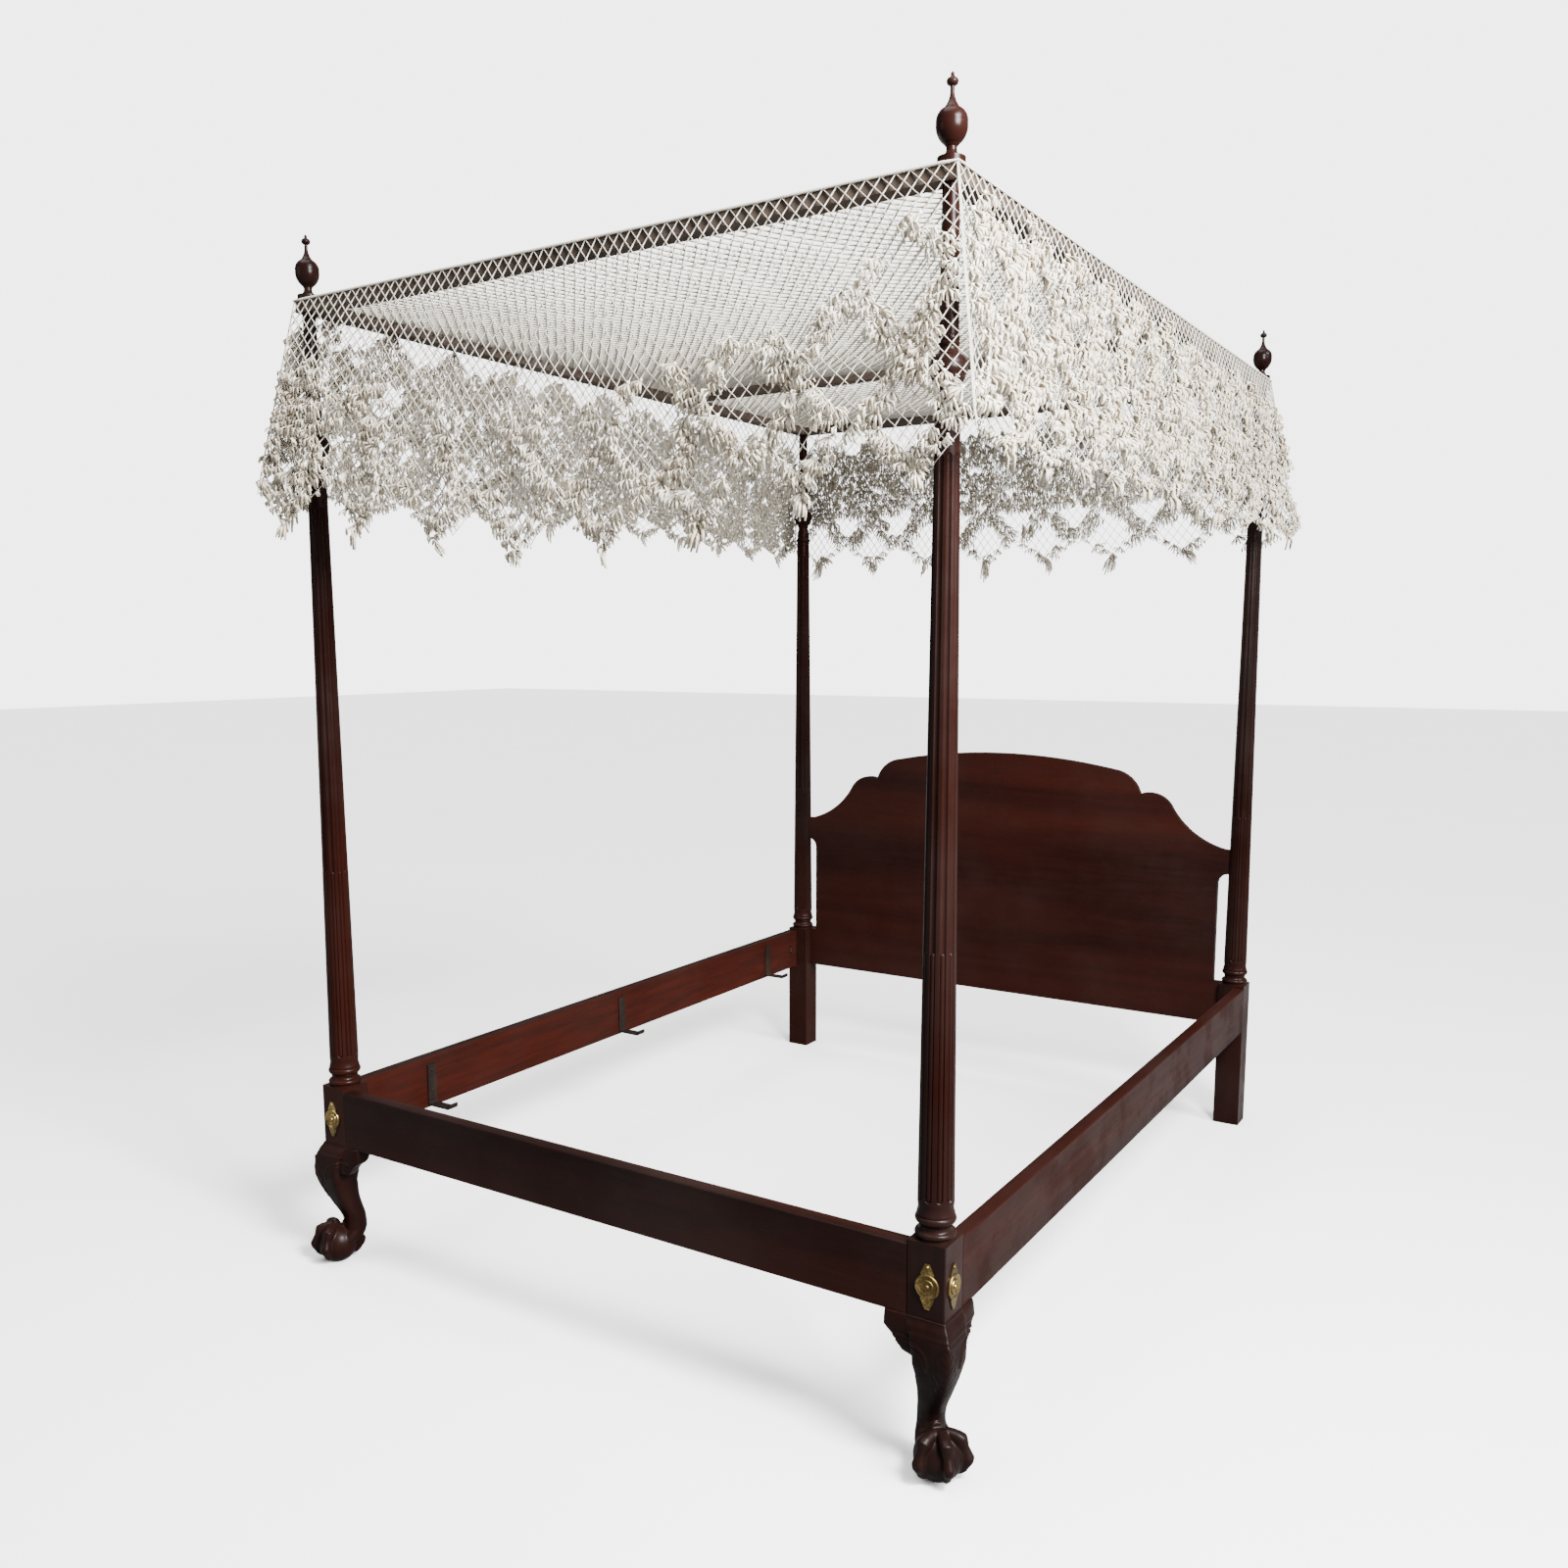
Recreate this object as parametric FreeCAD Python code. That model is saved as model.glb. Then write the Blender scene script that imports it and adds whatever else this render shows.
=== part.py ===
"""Four-poster bed: fluted posts, arched headboard, tester frame, finials and a hanging net canopy.

Millimetres. The origin is on the floor at the middle of the bed, +Z is up, the head is at +Y and
the foot at -Y. Left is -X and right is +X, seen from the foot.
"""
import FreeCAD
import Part
import math
import os
from FreeCAD import Vector

# Layout of the four posts
POST_SPAN_X = 1554.0
POST_SPAN_Y = 2100.0
HALF_X = POST_SPAN_X / 2
HALF_Y = POST_SPAN_Y / 2

# Square block of each post, and the bed frame's joints
BLOCK_WIDTH = 75.0
BLOCK_BOTTOM = 298.0
BLOCK_HEIGHT = 140.0
BLOCK_BEVEL = 2.0
BLOCK_TOP = BLOCK_BOTTOM + BLOCK_HEIGHT
BLOCK_HALF = BLOCK_WIDTH / 2
RAIL_THICKNESS = 32.0
RAIL_HEIGHT = 132.0
RAIL_BEVEL = 2.0
TENON_LENGTH = 12.0
TENON_CHEEK = 6.0
TENON_SHOULDER = 16.0
JOINT_CLEARANCE = 0.3
CUT_OVERRUN = 5.0

# Turned and fluted shaft
BASE_TURNING_HEIGHT = 66.0
BASE_RING_RADIUS = 37.5
SHAFT_LENGTH = 1286.0
SHAFT_FOOT_RADIUS = 33.0
SHAFT_HEAD_RADIUS = 21.5
NECK_HEIGHT = 78.0
NECK_RING_RADIUS = 22.5
SHAFT_BOTTOM = BLOCK_TOP + BASE_TURNING_HEIGHT
SHAFT_TOP = SHAFT_BOTTOM + SHAFT_LENGTH
POST_JOINT = SHAFT_TOP + NECK_HEIGHT
FLUTE_COUNT = 10
FLUTE_END_MARGIN = 12.0
STOP_FLUTE_LENGTH = 446.0
FLUTE_WIDTH_SHARE = 0.68
FLUTE_DEPTH_SHARE = 0.12
CABLE_WIDTH_SHARE = 0.72

# Plain turned top of each post
TOP_LENGTH = 333.0
TOP_BALL_RADIUS = 30.5
TOP_DOWEL_RADIUS = 10.0
TOP_DOWEL_LENGTH = 45.0
DOWEL_CLEARANCE = 0.15
POST_TOP = POST_JOINT + TOP_LENGTH

# Tester frame of flat laths, half-lapped at the corners
LATH_WIDTH = 40.0
LATH_THICKNESS = 24.0
LATH_OVERHANG = 20.0
CROSS_LATH_SHARE = 0.143
CROSS_LATH_Y = CROSS_LATH_SHARE * POST_SPAN_Y
LATH_TOP = POST_TOP + LATH_THICKNESS
TESTER_PIN_RADIUS = 4.0
TESTER_PIN_SET = 60.0
TESTER_PIN_RISE = 46.0
PIN_HOLE_CLEARANCE = 0.5
PIN_SEAT_CLEARANCE = 0.05
FINIAL_BORE_CLEARANCE = 0.08
FINIAL_BORE_SPARE = 3.0

# Net canopy
NET_THICKNESS = 3.0
NET_GAP = 0.3
ROOF_SAG_FOOT = 70.0
ROOF_SAG_HEAD = 35.0
ROOF_FLAT_SHARE = 0.42
ROOF_HOLE_COLUMNS = 14
ROOF_HOLE_ROWS = 20
ROOF_HOLE_MARGIN = 30.0
ROOF_HOLE_OPEN_SHARE = 0.62
VALANCE_DROP = 405.0
VALANCE_FLARE = 68.0
VALANCE_MIDDLE_FLARE = 30.0
VALANCE_FOLD_SHARE = 0.09
END_TEETH = 8
SIDE_TEETH = 11
FOOT_TOOTH = 76.0
HEAD_TOOTH = 62.0
SIDE_TOOTH = 30.0
FOOT_DROOP = 92.0
HEAD_DROOP = 14.0
SIDE_DROOP = -20.0
DROOP_POWER = 3

# Finials
FINIAL_RADIUS = 25.5
FINIAL_HEIGHT = 139.7

# Cabriole legs and knee blocks
DOWEL_RADIUS = 12.5
DOWEL_LENGTH = 40.0
BALL_RADIUS = 44.0
BALL_HEIGHT = 40.0
BALL_SHIFT = 30.0
TALON_RADIUS = 12.0
TALON_SEAT = 4.0
TALON_ANGLES = (-62.0, 0.0, 62.0, 180.0)
EAR_LENGTH = 44.0
EAR_DEPTH = 66.0
EAR_PROUD = 8.0

# Headboard
BOARD_THICKNESS = 20.0
BOARD_BOTTOM = 306.0
BOARD_SHOULDER = 849.0
BOARD_CREST = 1114.0
SLOT_WIDTH = 24.5
SLOT_TOP = 775.0
SLOT_RADIUS = 33.0
EAR_INSET = 12.0
BOARD_CLEARANCE = 0.3

# Bed bolts
BOLT_RADIUS = 4.75
BOLT_HOLE_RADIUS = 5.25
BOLT_HEAD_WIDTH = 15.0
BOLT_HEAD_HEIGHT = 8.0
BOLT_INSET = 9.0
COUNTERBORE_RADIUS = 11.0
COUNTERBORE_DEPTH = 14.0
SIDE_BOLT_HEIGHT = 364.0
FOOT_BOLT_HEIGHT = 351.0
NUT_WIDTH = 17.0
NUT_THICKNESS = 8.0
NUT_FROM_RAIL_END = 37.5
NUT_SLOT_HEIGHT = 30.0
NUT_SLOT_WIDTH = 12.0
NUT_HOLE_CLEARANCE = 0.2
BOLT_TAIL = 6.0

# Bolt covers
COVER_HEIGHT = 84.0
COVER_DISC_RADIUS = 23.5
COVER_THICKNESS = 2.0
COVER_TIP_WIDTH = 9.0
COVER_WAIST_WIDTH = 26.0
COVER_WAIST_SHARE = 0.57
COVER_GAP = 0.3
COVER_SHIFT = 4.0
COVER_RISE = 7.5
COVER_FOOT_HEIGHT = 360.0
COVER_SIDE_HEIGHT = 356.0
PIN_FROM_TIP = 6.5
PIN_RADIUS = 1.5
PIN_LENGTH = 14.0
PIN_HEAD_RADIUS = 3.4
PIN_HEAD_HEIGHT = 2.2
PIN_CLEARANCE = 0.08

# Iron hangers for the mattress base
HANGER_WIDTH = 28.0
HANGER_THICKNESS = 4.0
HANGER_HEIGHT = 106.0
HANGER_FOOT = 78.0
HANGER_LIP = 14.0
HANGER_BEND = 5.0
HANGER_ABOVE_RAIL_BOTTOM = 6.0
HANGER_PLACE_SHARES = (("foot", -0.369), ("middle", -0.0024), ("head", 0.388))
HANGER_SCREW_SHARES = (0.36, 0.86)
SCREW_RADIUS = 2.2
SCREW_LENGTH = 18.0
SCREW_HEAD_RADIUS = 4.2
SCREW_HEAD_HEIGHT = 2.4
SCREW_CLEARANCE = 0.1

# Bulge of a quarter circle, as its rise over its chord
QUARTER = math.tan(math.pi / 8) / 2

# Round heads of pins and screws: flat at the crown, and the dome's bulge
HEAD_FLAT_SHARE = 0.12
HEAD_BULGE = 0.16

SIDES = (("left", -1), ("right", 1))
ENDS = (("foot", -1), ("head", 1))

# Turned outlines: share of the radius, share of the height, and the bulge of the line that ends
# there, as its rise over its length (positive bulges outward).
BASE_TURNING_SHARES = (
    (0.93, 0.00, 0.0), (0.93, 0.05, 0.0), (0.88, 0.06, 0.0), (0.88, 0.24, 0.38),
    (0.85, 0.25, 0.0), (0.85, 0.42, -0.20), (0.84, 0.44, 0.0), (0.84, 0.67, 0.36),
    (0.92, 0.68, 0.0), (0.91, 0.72, 0.0),
)
NECK_SHARES = (
    (0.94, 0.50, 0.0), (0.96, 0.54, 0.0), (0.96, 0.68, 0.30), (0.90, 0.72, 0.0),
    (0.90, 0.92, 0.0), (0.86, 1.00, 0.0),
)
POST_TOP_SHARES = (
    (0.58, 0.000, 0.0), (0.56, 0.050, -0.05), (0.62, 0.068, 0.0), (0.94, 0.115, 0.10),
    (1.00, 0.157, 0.12), (0.62, 0.215, 0.16), (0.50, 0.245, -0.10), (0.56, 0.270, 0.20),
    (0.55, 0.300, 0.10), (0.54, 0.390, 0.0), (0.45, 1.000, 0.0),
)
FINIAL_SHARES = (
    (0.90, 0.000, 0.0), (0.90, 0.080, 0.0), (0.34, 0.160, -0.20), (0.34, 0.195, 0.0),
    (0.49, 0.227, 0.0), (1.00, 0.450, 0.13), (0.51, 0.613, 0.16), (0.14, 0.821, -0.10),
    (0.14, 0.850, 0.0), (0.21, 0.936, 0.42), (0.11, 0.960, -0.10), (0.02, 1.000, 0.20),
)

# Cabriole leg, block to ankle: share of the leg's height, shift outward along the diagonal and
# half side as shares of the block's width, and corner radius as a share of the half side.
LEG_SHARES = (
    (1.000, 0.000, 0.500, 0.06), (0.953, 0.120, 0.537, 0.12), (0.879, 0.307, 0.531, 0.20),
    (0.799, 0.373, 0.524, 0.25), (0.732, 0.373, 0.522, 0.30), (0.664, 0.353, 0.475, 0.40),
    (0.611, 0.293, 0.453, 0.50), (0.547, 0.213, 0.412, 0.60), (0.480, 0.107, 0.380, 0.70),
    (0.423, 0.000, 0.356, 0.80), (0.376, -0.080, 0.346, 0.90), (0.319, -0.120, 0.341, 0.96),
    (0.268, -0.113, 0.354, 0.96), (0.221, 0.020, 0.452, 0.96), (0.168, 0.200, 0.551, 0.96),
)

# Knee block's outline: share of its length beyond the post, share of its depth, and bulge.
EAR_SHARES = ((0.18, 1.00, 0.0), (0.55, 0.53, -0.22), (1.00, 0.36, 0.18), (1.00, 0.00, 0.10))

# Bolt cover's rings: share of the disc's radius, share of the boss's rise, and bulge.
COVER_SHARES = (
    (1.00, 0.00, 0.0), (0.86, 0.45, 0.25), (0.72, 0.10, 0.0), (0.60, 0.10, 0.0),
    (0.44, 0.60, 0.25), (0.34, 0.35, 0.0), (0.22, 0.35, 0.0), (0.02, 1.00, 0.20),
)

# Talons: angle down from the top of the ball in degrees, and thickness as a share.
TALON_SHARES = ((18.0, 0.95), (48.0, 1.05), (72.0, 0.85), (95.0, 0.95), (118.0, 0.70), (134.0, 0.35))

# Headboard's right half, post to crest: share of the half width between blocks, share of the rise
# from shoulder to crest, and bulge.
BOARD_CREST_SHARES = (
    (0.994, 0.000, 0.0), (0.773, 0.426, -0.10), (0.630, 0.592, 0.20), (0.514, 0.864, 0.15),
    (0.000, 1.000, 0.0236),
)


def box(x0, x1, y0, y1, z0, z1):
    """Block between two corners, whichever way round the limits come."""
    low = Vector(min(x0, x1), min(y0, y1), min(z0, z1))
    return Part.makeBox(abs(x1 - x0), abs(y1 - y0), abs(z1 - z0), low)


def rod(radius, length, start, direction):
    """Round bar from a start point along a direction."""
    return Part.makeCylinder(radius, length, start, direction)


def bulged_edge(a, b, bulge):
    """Line or arc from a to b in the XZ plane; a positive bulge lies to the right of travel."""
    if bulge == 0:
        return Part.makeLine(a, b)
    step = b - a
    aside = Vector(step.z, 0, -step.x)
    middle = (a + b) * 0.5 + aside * bulge
    return Part.Arc(a, middle, b).toShape()


def outline_face(rows):
    """Face in the XZ plane from rows of x, z and the bulge of the edge that ends there."""
    points = [Vector(x, 0, z) for x, z, _ in rows]
    edges = []
    for index, row in enumerate(rows):
        edges.append(bulged_edge(points[index - 1], points[index], row[2]))
    return Part.Face(Part.Wire(edges))


def scaled_rows(shares, radius, base, height):
    """Outline rows in millimetres from shares of a radius and a height."""
    return [(r * radius, base + h * height, bulge) for r, h, bulge in shares]


def turned(rows):
    """Solid turned about the Z axis from rows of radius, height and bulge."""
    closed = [(0, rows[0][1], 0)] + rows + [(0, rows[-1][1], 0)]
    return outline_face(closed).revolve(Vector(0, 0, 0), Vector(0, 0, 1), 360)


def turned_to(shape, direction, place):
    """Copy of a shape made along +Z, turned to a direction and moved to a place."""
    copy = shape.copy()
    copy.Placement = FreeCAD.Placement(place, FreeCAD.Rotation(Vector(0, 0, 1), direction))
    return copy


def moved(shape, x, y, z):
    """Copy of a shape moved by x, y and z."""
    copy = shape.copy()
    copy.translate(Vector(x, y, z))
    return copy


def mirrored_x(shape):
    """Mirror image of a shape on the other side of the bed."""
    return shape.mirror(Vector(0, 0, 0), Vector(1, 0, 0))


def bevelled_bar(width, depth, bevel, z0, z1):
    """Upright square bar round the Z axis with its four long edges bevelled."""
    a, b = width / 2, depth / 2
    points = [
        (-a + bevel, -b), (a - bevel, -b), (a, -b + bevel), (a, b - bevel),
        (a - bevel, b), (-a + bevel, b), (-a, b - bevel), (-a, -b + bevel),
    ]
    loop = [Vector(x, y, z0) for x, y in points]
    face = Part.Face(Part.makePolygon(loop + loop[:1]))
    return face.extrude(Vector(0, 0, z1 - z0))


def shaft_radius(z):
    """Radius of the tapering shaft at a height."""
    share = (z - SHAFT_BOTTOM) / SHAFT_LENGTH
    return SHAFT_FOOT_RADIUS + share * (SHAFT_HEAD_RADIUS - SHAFT_FOOT_RADIUS)


def flute_sizes(z):
    """Cutter radius and its centre's distance from the axis, for the flute at a height."""
    radius = shaft_radius(z)
    width = FLUTE_WIDTH_SHARE * 2 * math.pi * radius / FLUTE_COUNT
    depth = FLUTE_DEPTH_SHARE * radius
    cutter = (width * width / 4 + depth * depth) / (2 * depth)
    return cutter, radius + cutter - depth


def cable_sizes(z):
    """Radius of the convex cable in a stopped flute and its centre's distance from the axis."""
    radius = shaft_radius(z)
    width = FLUTE_WIDTH_SHARE * 2 * math.pi * radius / FLUTE_COUNT
    cable = CABLE_WIDTH_SHARE * width / 2
    return cable, radius - cable


def tapered_capsule(sizes, z0, z1, angle):
    """Round-ended tapering bar beside the shaft, for a flute or its cable."""
    r0, d0 = sizes(z0)
    r1, d1 = sizes(z1)
    start = Vector(d0, 0, z0)
    axis = Vector(d1, 0, z1) - start
    length = axis.Length
    bar = turned_to(capsule(r0, r1, length), axis, start)
    bar.rotate(Vector(0, 0, 0), Vector(0, 0, 1), angle)
    return bar


def capsule(r0, r1, length):
    """Tapering bar along +Z with a round end at each side."""
    rows = [(0, -r0, 0), (r0, 0, QUARTER), (r1, length, 0), (0, length + r1, QUARTER)]
    return outline_face(rows).revolve(Vector(0, 0, 0), Vector(0, 0, 1), 360)


def fluted_shaft():
    """Base turnings, tapering shaft with flutes stopped by cables below, and the plain neck."""
    rows = scaled_rows(BASE_TURNING_SHARES, BASE_RING_RADIUS, BLOCK_TOP, BASE_TURNING_HEIGHT)
    rows.append((SHAFT_FOOT_RADIUS, SHAFT_BOTTOM, -0.08))
    rows.append((SHAFT_HEAD_RADIUS, SHAFT_TOP, 0))
    rows += scaled_rows(NECK_SHARES, NECK_RING_RADIUS, SHAFT_TOP, NECK_HEIGHT)
    core = turned(rows)
    low = SHAFT_BOTTOM + FLUTE_END_MARGIN
    high = SHAFT_TOP - FLUTE_END_MARGIN
    stop = SHAFT_BOTTOM + STOP_FLUTE_LENGTH
    angles = [(index + 0.5) * 360 / FLUTE_COUNT for index in range(FLUTE_COUNT)]
    flutes = [tapered_capsule(flute_sizes, low, high, angle) for angle in angles]
    cables = [tapered_capsule(cable_sizes, low, stop, angle) for angle in angles]
    return core.cut(flutes).fuse(cables).removeSplitter()


def bolt_holes(x, y, is_foot, side):
    """Clearance holes and counterbores through a post's block for its bed bolts."""
    out_y = -1 if is_foot else 1
    start = Vector(x + side * (BLOCK_HALF - RAIL_THICKNESS + BOLT_INSET), y + out_y * BLOCK_HALF,
                   SIDE_BOLT_HEIGHT)
    inward = Vector(0, -out_y, 0)
    cuts = [rod(BOLT_HOLE_RADIUS, BLOCK_WIDTH, start, inward),
            rod(COUNTERBORE_RADIUS, COUNTERBORE_DEPTH, start, inward)]
    if is_foot:
        start = Vector(x + side * BLOCK_HALF, y - BLOCK_HALF + RAIL_THICKNESS - BOLT_INSET,
                       FOOT_BOLT_HEIGHT)
        inward = Vector(-side, 0, 0)
        cuts += [rod(BOLT_HOLE_RADIUS, BLOCK_WIDTH, start, inward),
                 rod(COUNTERBORE_RADIUS, COUNTERBORE_DEPTH, start, inward)]
    return cuts


def rail_tenon(length_axis, x, y, grow):
    """Tenon block at a rail's end, centred on x and y, grown all round by a clearance."""
    thick = RAIL_THICKNESS / 2 - TENON_CHEEK + grow
    low = BLOCK_BOTTOM + TENON_SHOULDER - grow
    high = BLOCK_BOTTOM + RAIL_HEIGHT - TENON_SHOULDER + grow
    reach = TENON_LENGTH + grow
    if length_axis == "x":
        return box(x - reach, x + reach, y - thick, y + thick, low, high)
    return box(x - thick, x + thick, y - reach, y + reach, low, high)


def side_rail_x(side):
    """Middle of a side rail's thickness."""
    return side * (HALF_X + BLOCK_HALF - RAIL_THICKNESS / 2)


FOOT_RAIL_Y = -(HALF_Y + BLOCK_HALF - RAIL_THICKNESS / 2)


def cover_places():
    """Name, outward direction, centre of the back face, and side for each bolt cover."""
    places = []
    for name, side in SIDES:
        x = side * (HALF_X + COVER_SHIFT)
        places.append(("foot_" + name, Vector(0, -1, 0),
                       Vector(x, -(HALF_Y + BLOCK_HALF + COVER_GAP), COVER_FOOT_HEIGHT)))
        y = -(HALF_Y + COVER_SHIFT)
        places.append(("side_" + name, Vector(side, 0, 0),
                       Vector(side * (HALF_X + BLOCK_HALF + COVER_GAP), y, COVER_SIDE_HEIGHT)))
    return places


def pin_point(place):
    """Point on the pin's axis at the cover's back face."""
    return place + Vector(0, 0, COVER_HEIGHT / 2 - PIN_FROM_TIP)


def post(end, side):
    """One lower post: block, turnings and fluted shaft, with its mortises and holes."""
    is_foot = end == -1
    x, y = side * HALF_X, end * HALF_Y
    bottom = BLOCK_BOTTOM if is_foot else 0
    block = bevelled_bar(BLOCK_WIDTH, BLOCK_WIDTH, BLOCK_BEVEL, bottom, BLOCK_TOP)
    shape = moved(block.fuse(SHAFT), x, y, 0)
    cuts = bolt_holes(x, y, is_foot, side)
    cuts.append(rail_tenon("y", side_rail_x(side), y - end * BLOCK_HALF, JOINT_CLEARANCE))
    top_hole = Vector(x, y, POST_JOINT - TOP_DOWEL_LENGTH - TOP_DOWEL_RADIUS)
    cuts.append(rod(TOP_DOWEL_RADIUS + DOWEL_CLEARANCE,
                    TOP_DOWEL_LENGTH + TOP_DOWEL_RADIUS, top_hole, Vector(0, 0, 1)))
    if is_foot:
        cuts.append(rail_tenon("x", x - side * BLOCK_HALF, FOOT_RAIL_Y, JOINT_CLEARANCE))
        cuts.append(rod(DOWEL_RADIUS + DOWEL_CLEARANCE, DOWEL_LENGTH + JOINT_CLEARANCE,
                        Vector(x, y, BLOCK_BOTTOM), Vector(0, 0, 1)))
        for name, outward, place in cover_places():
            if name.endswith("left" if side == -1 else "right"):
                cuts.append(rod(PIN_RADIUS + PIN_CLEARANCE, PIN_LENGTH,
                                pin_point(place) - outward * COVER_GAP, outward * -1))
    else:
        cuts += board_tenons(BOARD_CLEARANCE, side)
    return shape.cut(cuts).removeSplitter()


def post_top():
    """Plain turned top with its ball, its dowel below and the hole for the tester pin."""
    rows = scaled_rows(POST_TOP_SHARES, TOP_BALL_RADIUS, POST_JOINT, TOP_LENGTH)
    shape = turned(rows).fuse(rod(TOP_DOWEL_RADIUS, TOP_DOWEL_LENGTH,
                                  Vector(0, 0, POST_JOINT - TOP_DOWEL_LENGTH), Vector(0, 0, 1)))
    hole = rod(TESTER_PIN_RADIUS + PIN_SEAT_CLEARANCE, TESTER_PIN_SET + CUT_OVERRUN,
               Vector(0, 0, POST_TOP - TESTER_PIN_SET), Vector(0, 0, 1))
    return shape.cut(hole).removeSplitter()


def tester_pin():
    """Steel pin that stands out of a post top, through the laths and into the finial."""
    return rod(TESTER_PIN_RADIUS, TESTER_PIN_SET + LATH_THICKNESS + TESTER_PIN_RISE,
               Vector(0, 0, POST_TOP - TESTER_PIN_SET), Vector(0, 0, 1))


def finial():
    """Turned vase finial with a bore for the tester pin."""
    base = LATH_TOP + NET_THICKNESS
    shape = turned(scaled_rows(FINIAL_SHARES, FINIAL_RADIUS, base, FINIAL_HEIGHT))
    reach = TESTER_PIN_RISE - NET_THICKNESS + FINIAL_BORE_SPARE
    bore = rod(TESTER_PIN_RADIUS + FINIAL_BORE_CLEARANCE, reach + CUT_OVERRUN,
               Vector(0, 0, base - CUT_OVERRUN), Vector(0, 0, 1))
    return shape.cut(bore)


def rail_bar(length_axis, length, x, y):
    """Plain rail with its two long upper edges bevelled, centred on x and y."""
    half = RAIL_THICKNESS / 2
    low, high = BLOCK_BOTTOM, BLOCK_BOTTOM + RAIL_HEIGHT
    points = [(-half, low), (half, low), (half, high - RAIL_BEVEL), (half - RAIL_BEVEL, high),
              (-half + RAIL_BEVEL, high), (-half, high - RAIL_BEVEL)]
    if length_axis == "x":
        loop = [Vector(x - length / 2, y + p, z) for p, z in points]
        along = Vector(length, 0, 0)
    else:
        loop = [Vector(x + p, y - length / 2, z) for p, z in points]
        along = Vector(0, length, 0)
    return Part.Face(Part.makePolygon(loop + loop[:1])).extrude(along)


def bolt_reach():
    """Length of a bolt's hole inside a rail, from the rail's shoulder."""
    return NUT_FROM_RAIL_END + NUT_THICKNESS / 2 + BOLT_TAIL + TENON_LENGTH


def side_rail(side):
    """Side rail with its tenons, bolt holes, nut slots and hanger screw holes."""
    x = side_rail_x(side)
    shape = rail_bar("y", POST_SPAN_Y - BLOCK_WIDTH, x, 0)
    inner = side * (HALF_X + BLOCK_HALF - RAIL_THICKNESS)
    bolt_x = inner + side * BOLT_INSET
    cuts = []
    for end in (-1, 1):
        face_y = end * (HALF_Y - BLOCK_HALF)
        shape = shape.fuse(rail_tenon("y", x, face_y, 0))
        start = Vector(bolt_x, face_y + end * (TENON_LENGTH + CUT_OVERRUN), SIDE_BOLT_HEIGHT)
        cuts.append(rod(BOLT_HOLE_RADIUS, bolt_reach() + CUT_OVERRUN + TENON_LENGTH, start,
                        Vector(0, -end, 0)))
        slot_y = face_y - end * NUT_FROM_RAIL_END
        cuts.append(box(inner - side * CUT_OVERRUN,
                        bolt_x + side * (NUT_WIDTH / 2 + JOINT_CLEARANCE),
                        slot_y - NUT_SLOT_WIDTH / 2, slot_y + NUT_SLOT_WIDTH / 2,
                        SIDE_BOLT_HEIGHT - NUT_SLOT_HEIGHT / 2,
                        SIDE_BOLT_HEIGHT + NUT_SLOT_HEIGHT / 2))
    for _, share in HANGER_PLACE_SHARES:
        for z in hanger_screw_heights():
            cuts.append(rod(SCREW_RADIUS + SCREW_CLEARANCE, SCREW_LENGTH,
                            Vector(inner, share * POST_SPAN_Y, z), Vector(side, 0, 0)))
    return shape.cut(cuts).removeSplitter()


def foot_rail():
    """Foot rail with its tenons, bolt holes and nut slots."""
    shape = rail_bar("x", POST_SPAN_X - BLOCK_WIDTH, 0, FOOT_RAIL_Y)
    inner = -(HALF_Y + BLOCK_HALF - RAIL_THICKNESS)
    bolt_y = inner - BOLT_INSET
    cuts = []
    for side in (-1, 1):
        face_x = side * (HALF_X - BLOCK_HALF)
        shape = shape.fuse(rail_tenon("x", face_x, FOOT_RAIL_Y, 0))
        start = Vector(face_x + side * (TENON_LENGTH + CUT_OVERRUN), bolt_y, FOOT_BOLT_HEIGHT)
        cuts.append(rod(BOLT_HOLE_RADIUS, bolt_reach() + CUT_OVERRUN + TENON_LENGTH, start,
                        Vector(-side, 0, 0)))
        slot_x = face_x - side * NUT_FROM_RAIL_END
        cuts.append(box(slot_x - NUT_SLOT_WIDTH / 2, slot_x + NUT_SLOT_WIDTH / 2,
                        inner + CUT_OVERRUN, bolt_y - NUT_WIDTH / 2 - JOINT_CLEARANCE,
                        FOOT_BOLT_HEIGHT - NUT_SLOT_HEIGHT / 2,
                        FOOT_BOLT_HEIGHT + NUT_SLOT_HEIGHT / 2))
    return shape.cut(cuts).removeSplitter()


def bolt_lines():
    """Point on the block's outer face and inward direction of every bed bolt."""
    lines = []
    for _, side in SIDES:
        x = side * (HALF_X + BLOCK_HALF - RAIL_THICKNESS + BOLT_INSET)
        for end in (-1, 1):
            lines.append((Vector(x, end * (HALF_Y + BLOCK_HALF), SIDE_BOLT_HEIGHT),
                          Vector(0, -end, 0)))
        y = -(HALF_Y + BLOCK_HALF - RAIL_THICKNESS + BOLT_INSET)
        lines.append((Vector(side * (HALF_X + BLOCK_HALF), y, FOOT_BOLT_HEIGHT),
                      Vector(-side, 0, 0)))
    return lines


def bed_bolts():
    """Square-headed bolts, heads at the bottom of their counterbores."""
    length = BLOCK_WIDTH - COUNTERBORE_DEPTH + NUT_FROM_RAIL_END + NUT_THICKNESS / 2 + BOLT_TAIL
    half = BOLT_HEAD_WIDTH / 2
    bolt = rod(BOLT_RADIUS, length, Vector(0, 0, 0), Vector(0, 0, 1))
    bolt = bolt.fuse(box(-half, half, -half, half, -BOLT_HEAD_HEIGHT, 0)).removeSplitter()
    return Part.makeCompound([turned_to(bolt, inward, start + inward * COUNTERBORE_DEPTH)
                              for start, inward in bolt_lines()])


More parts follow.
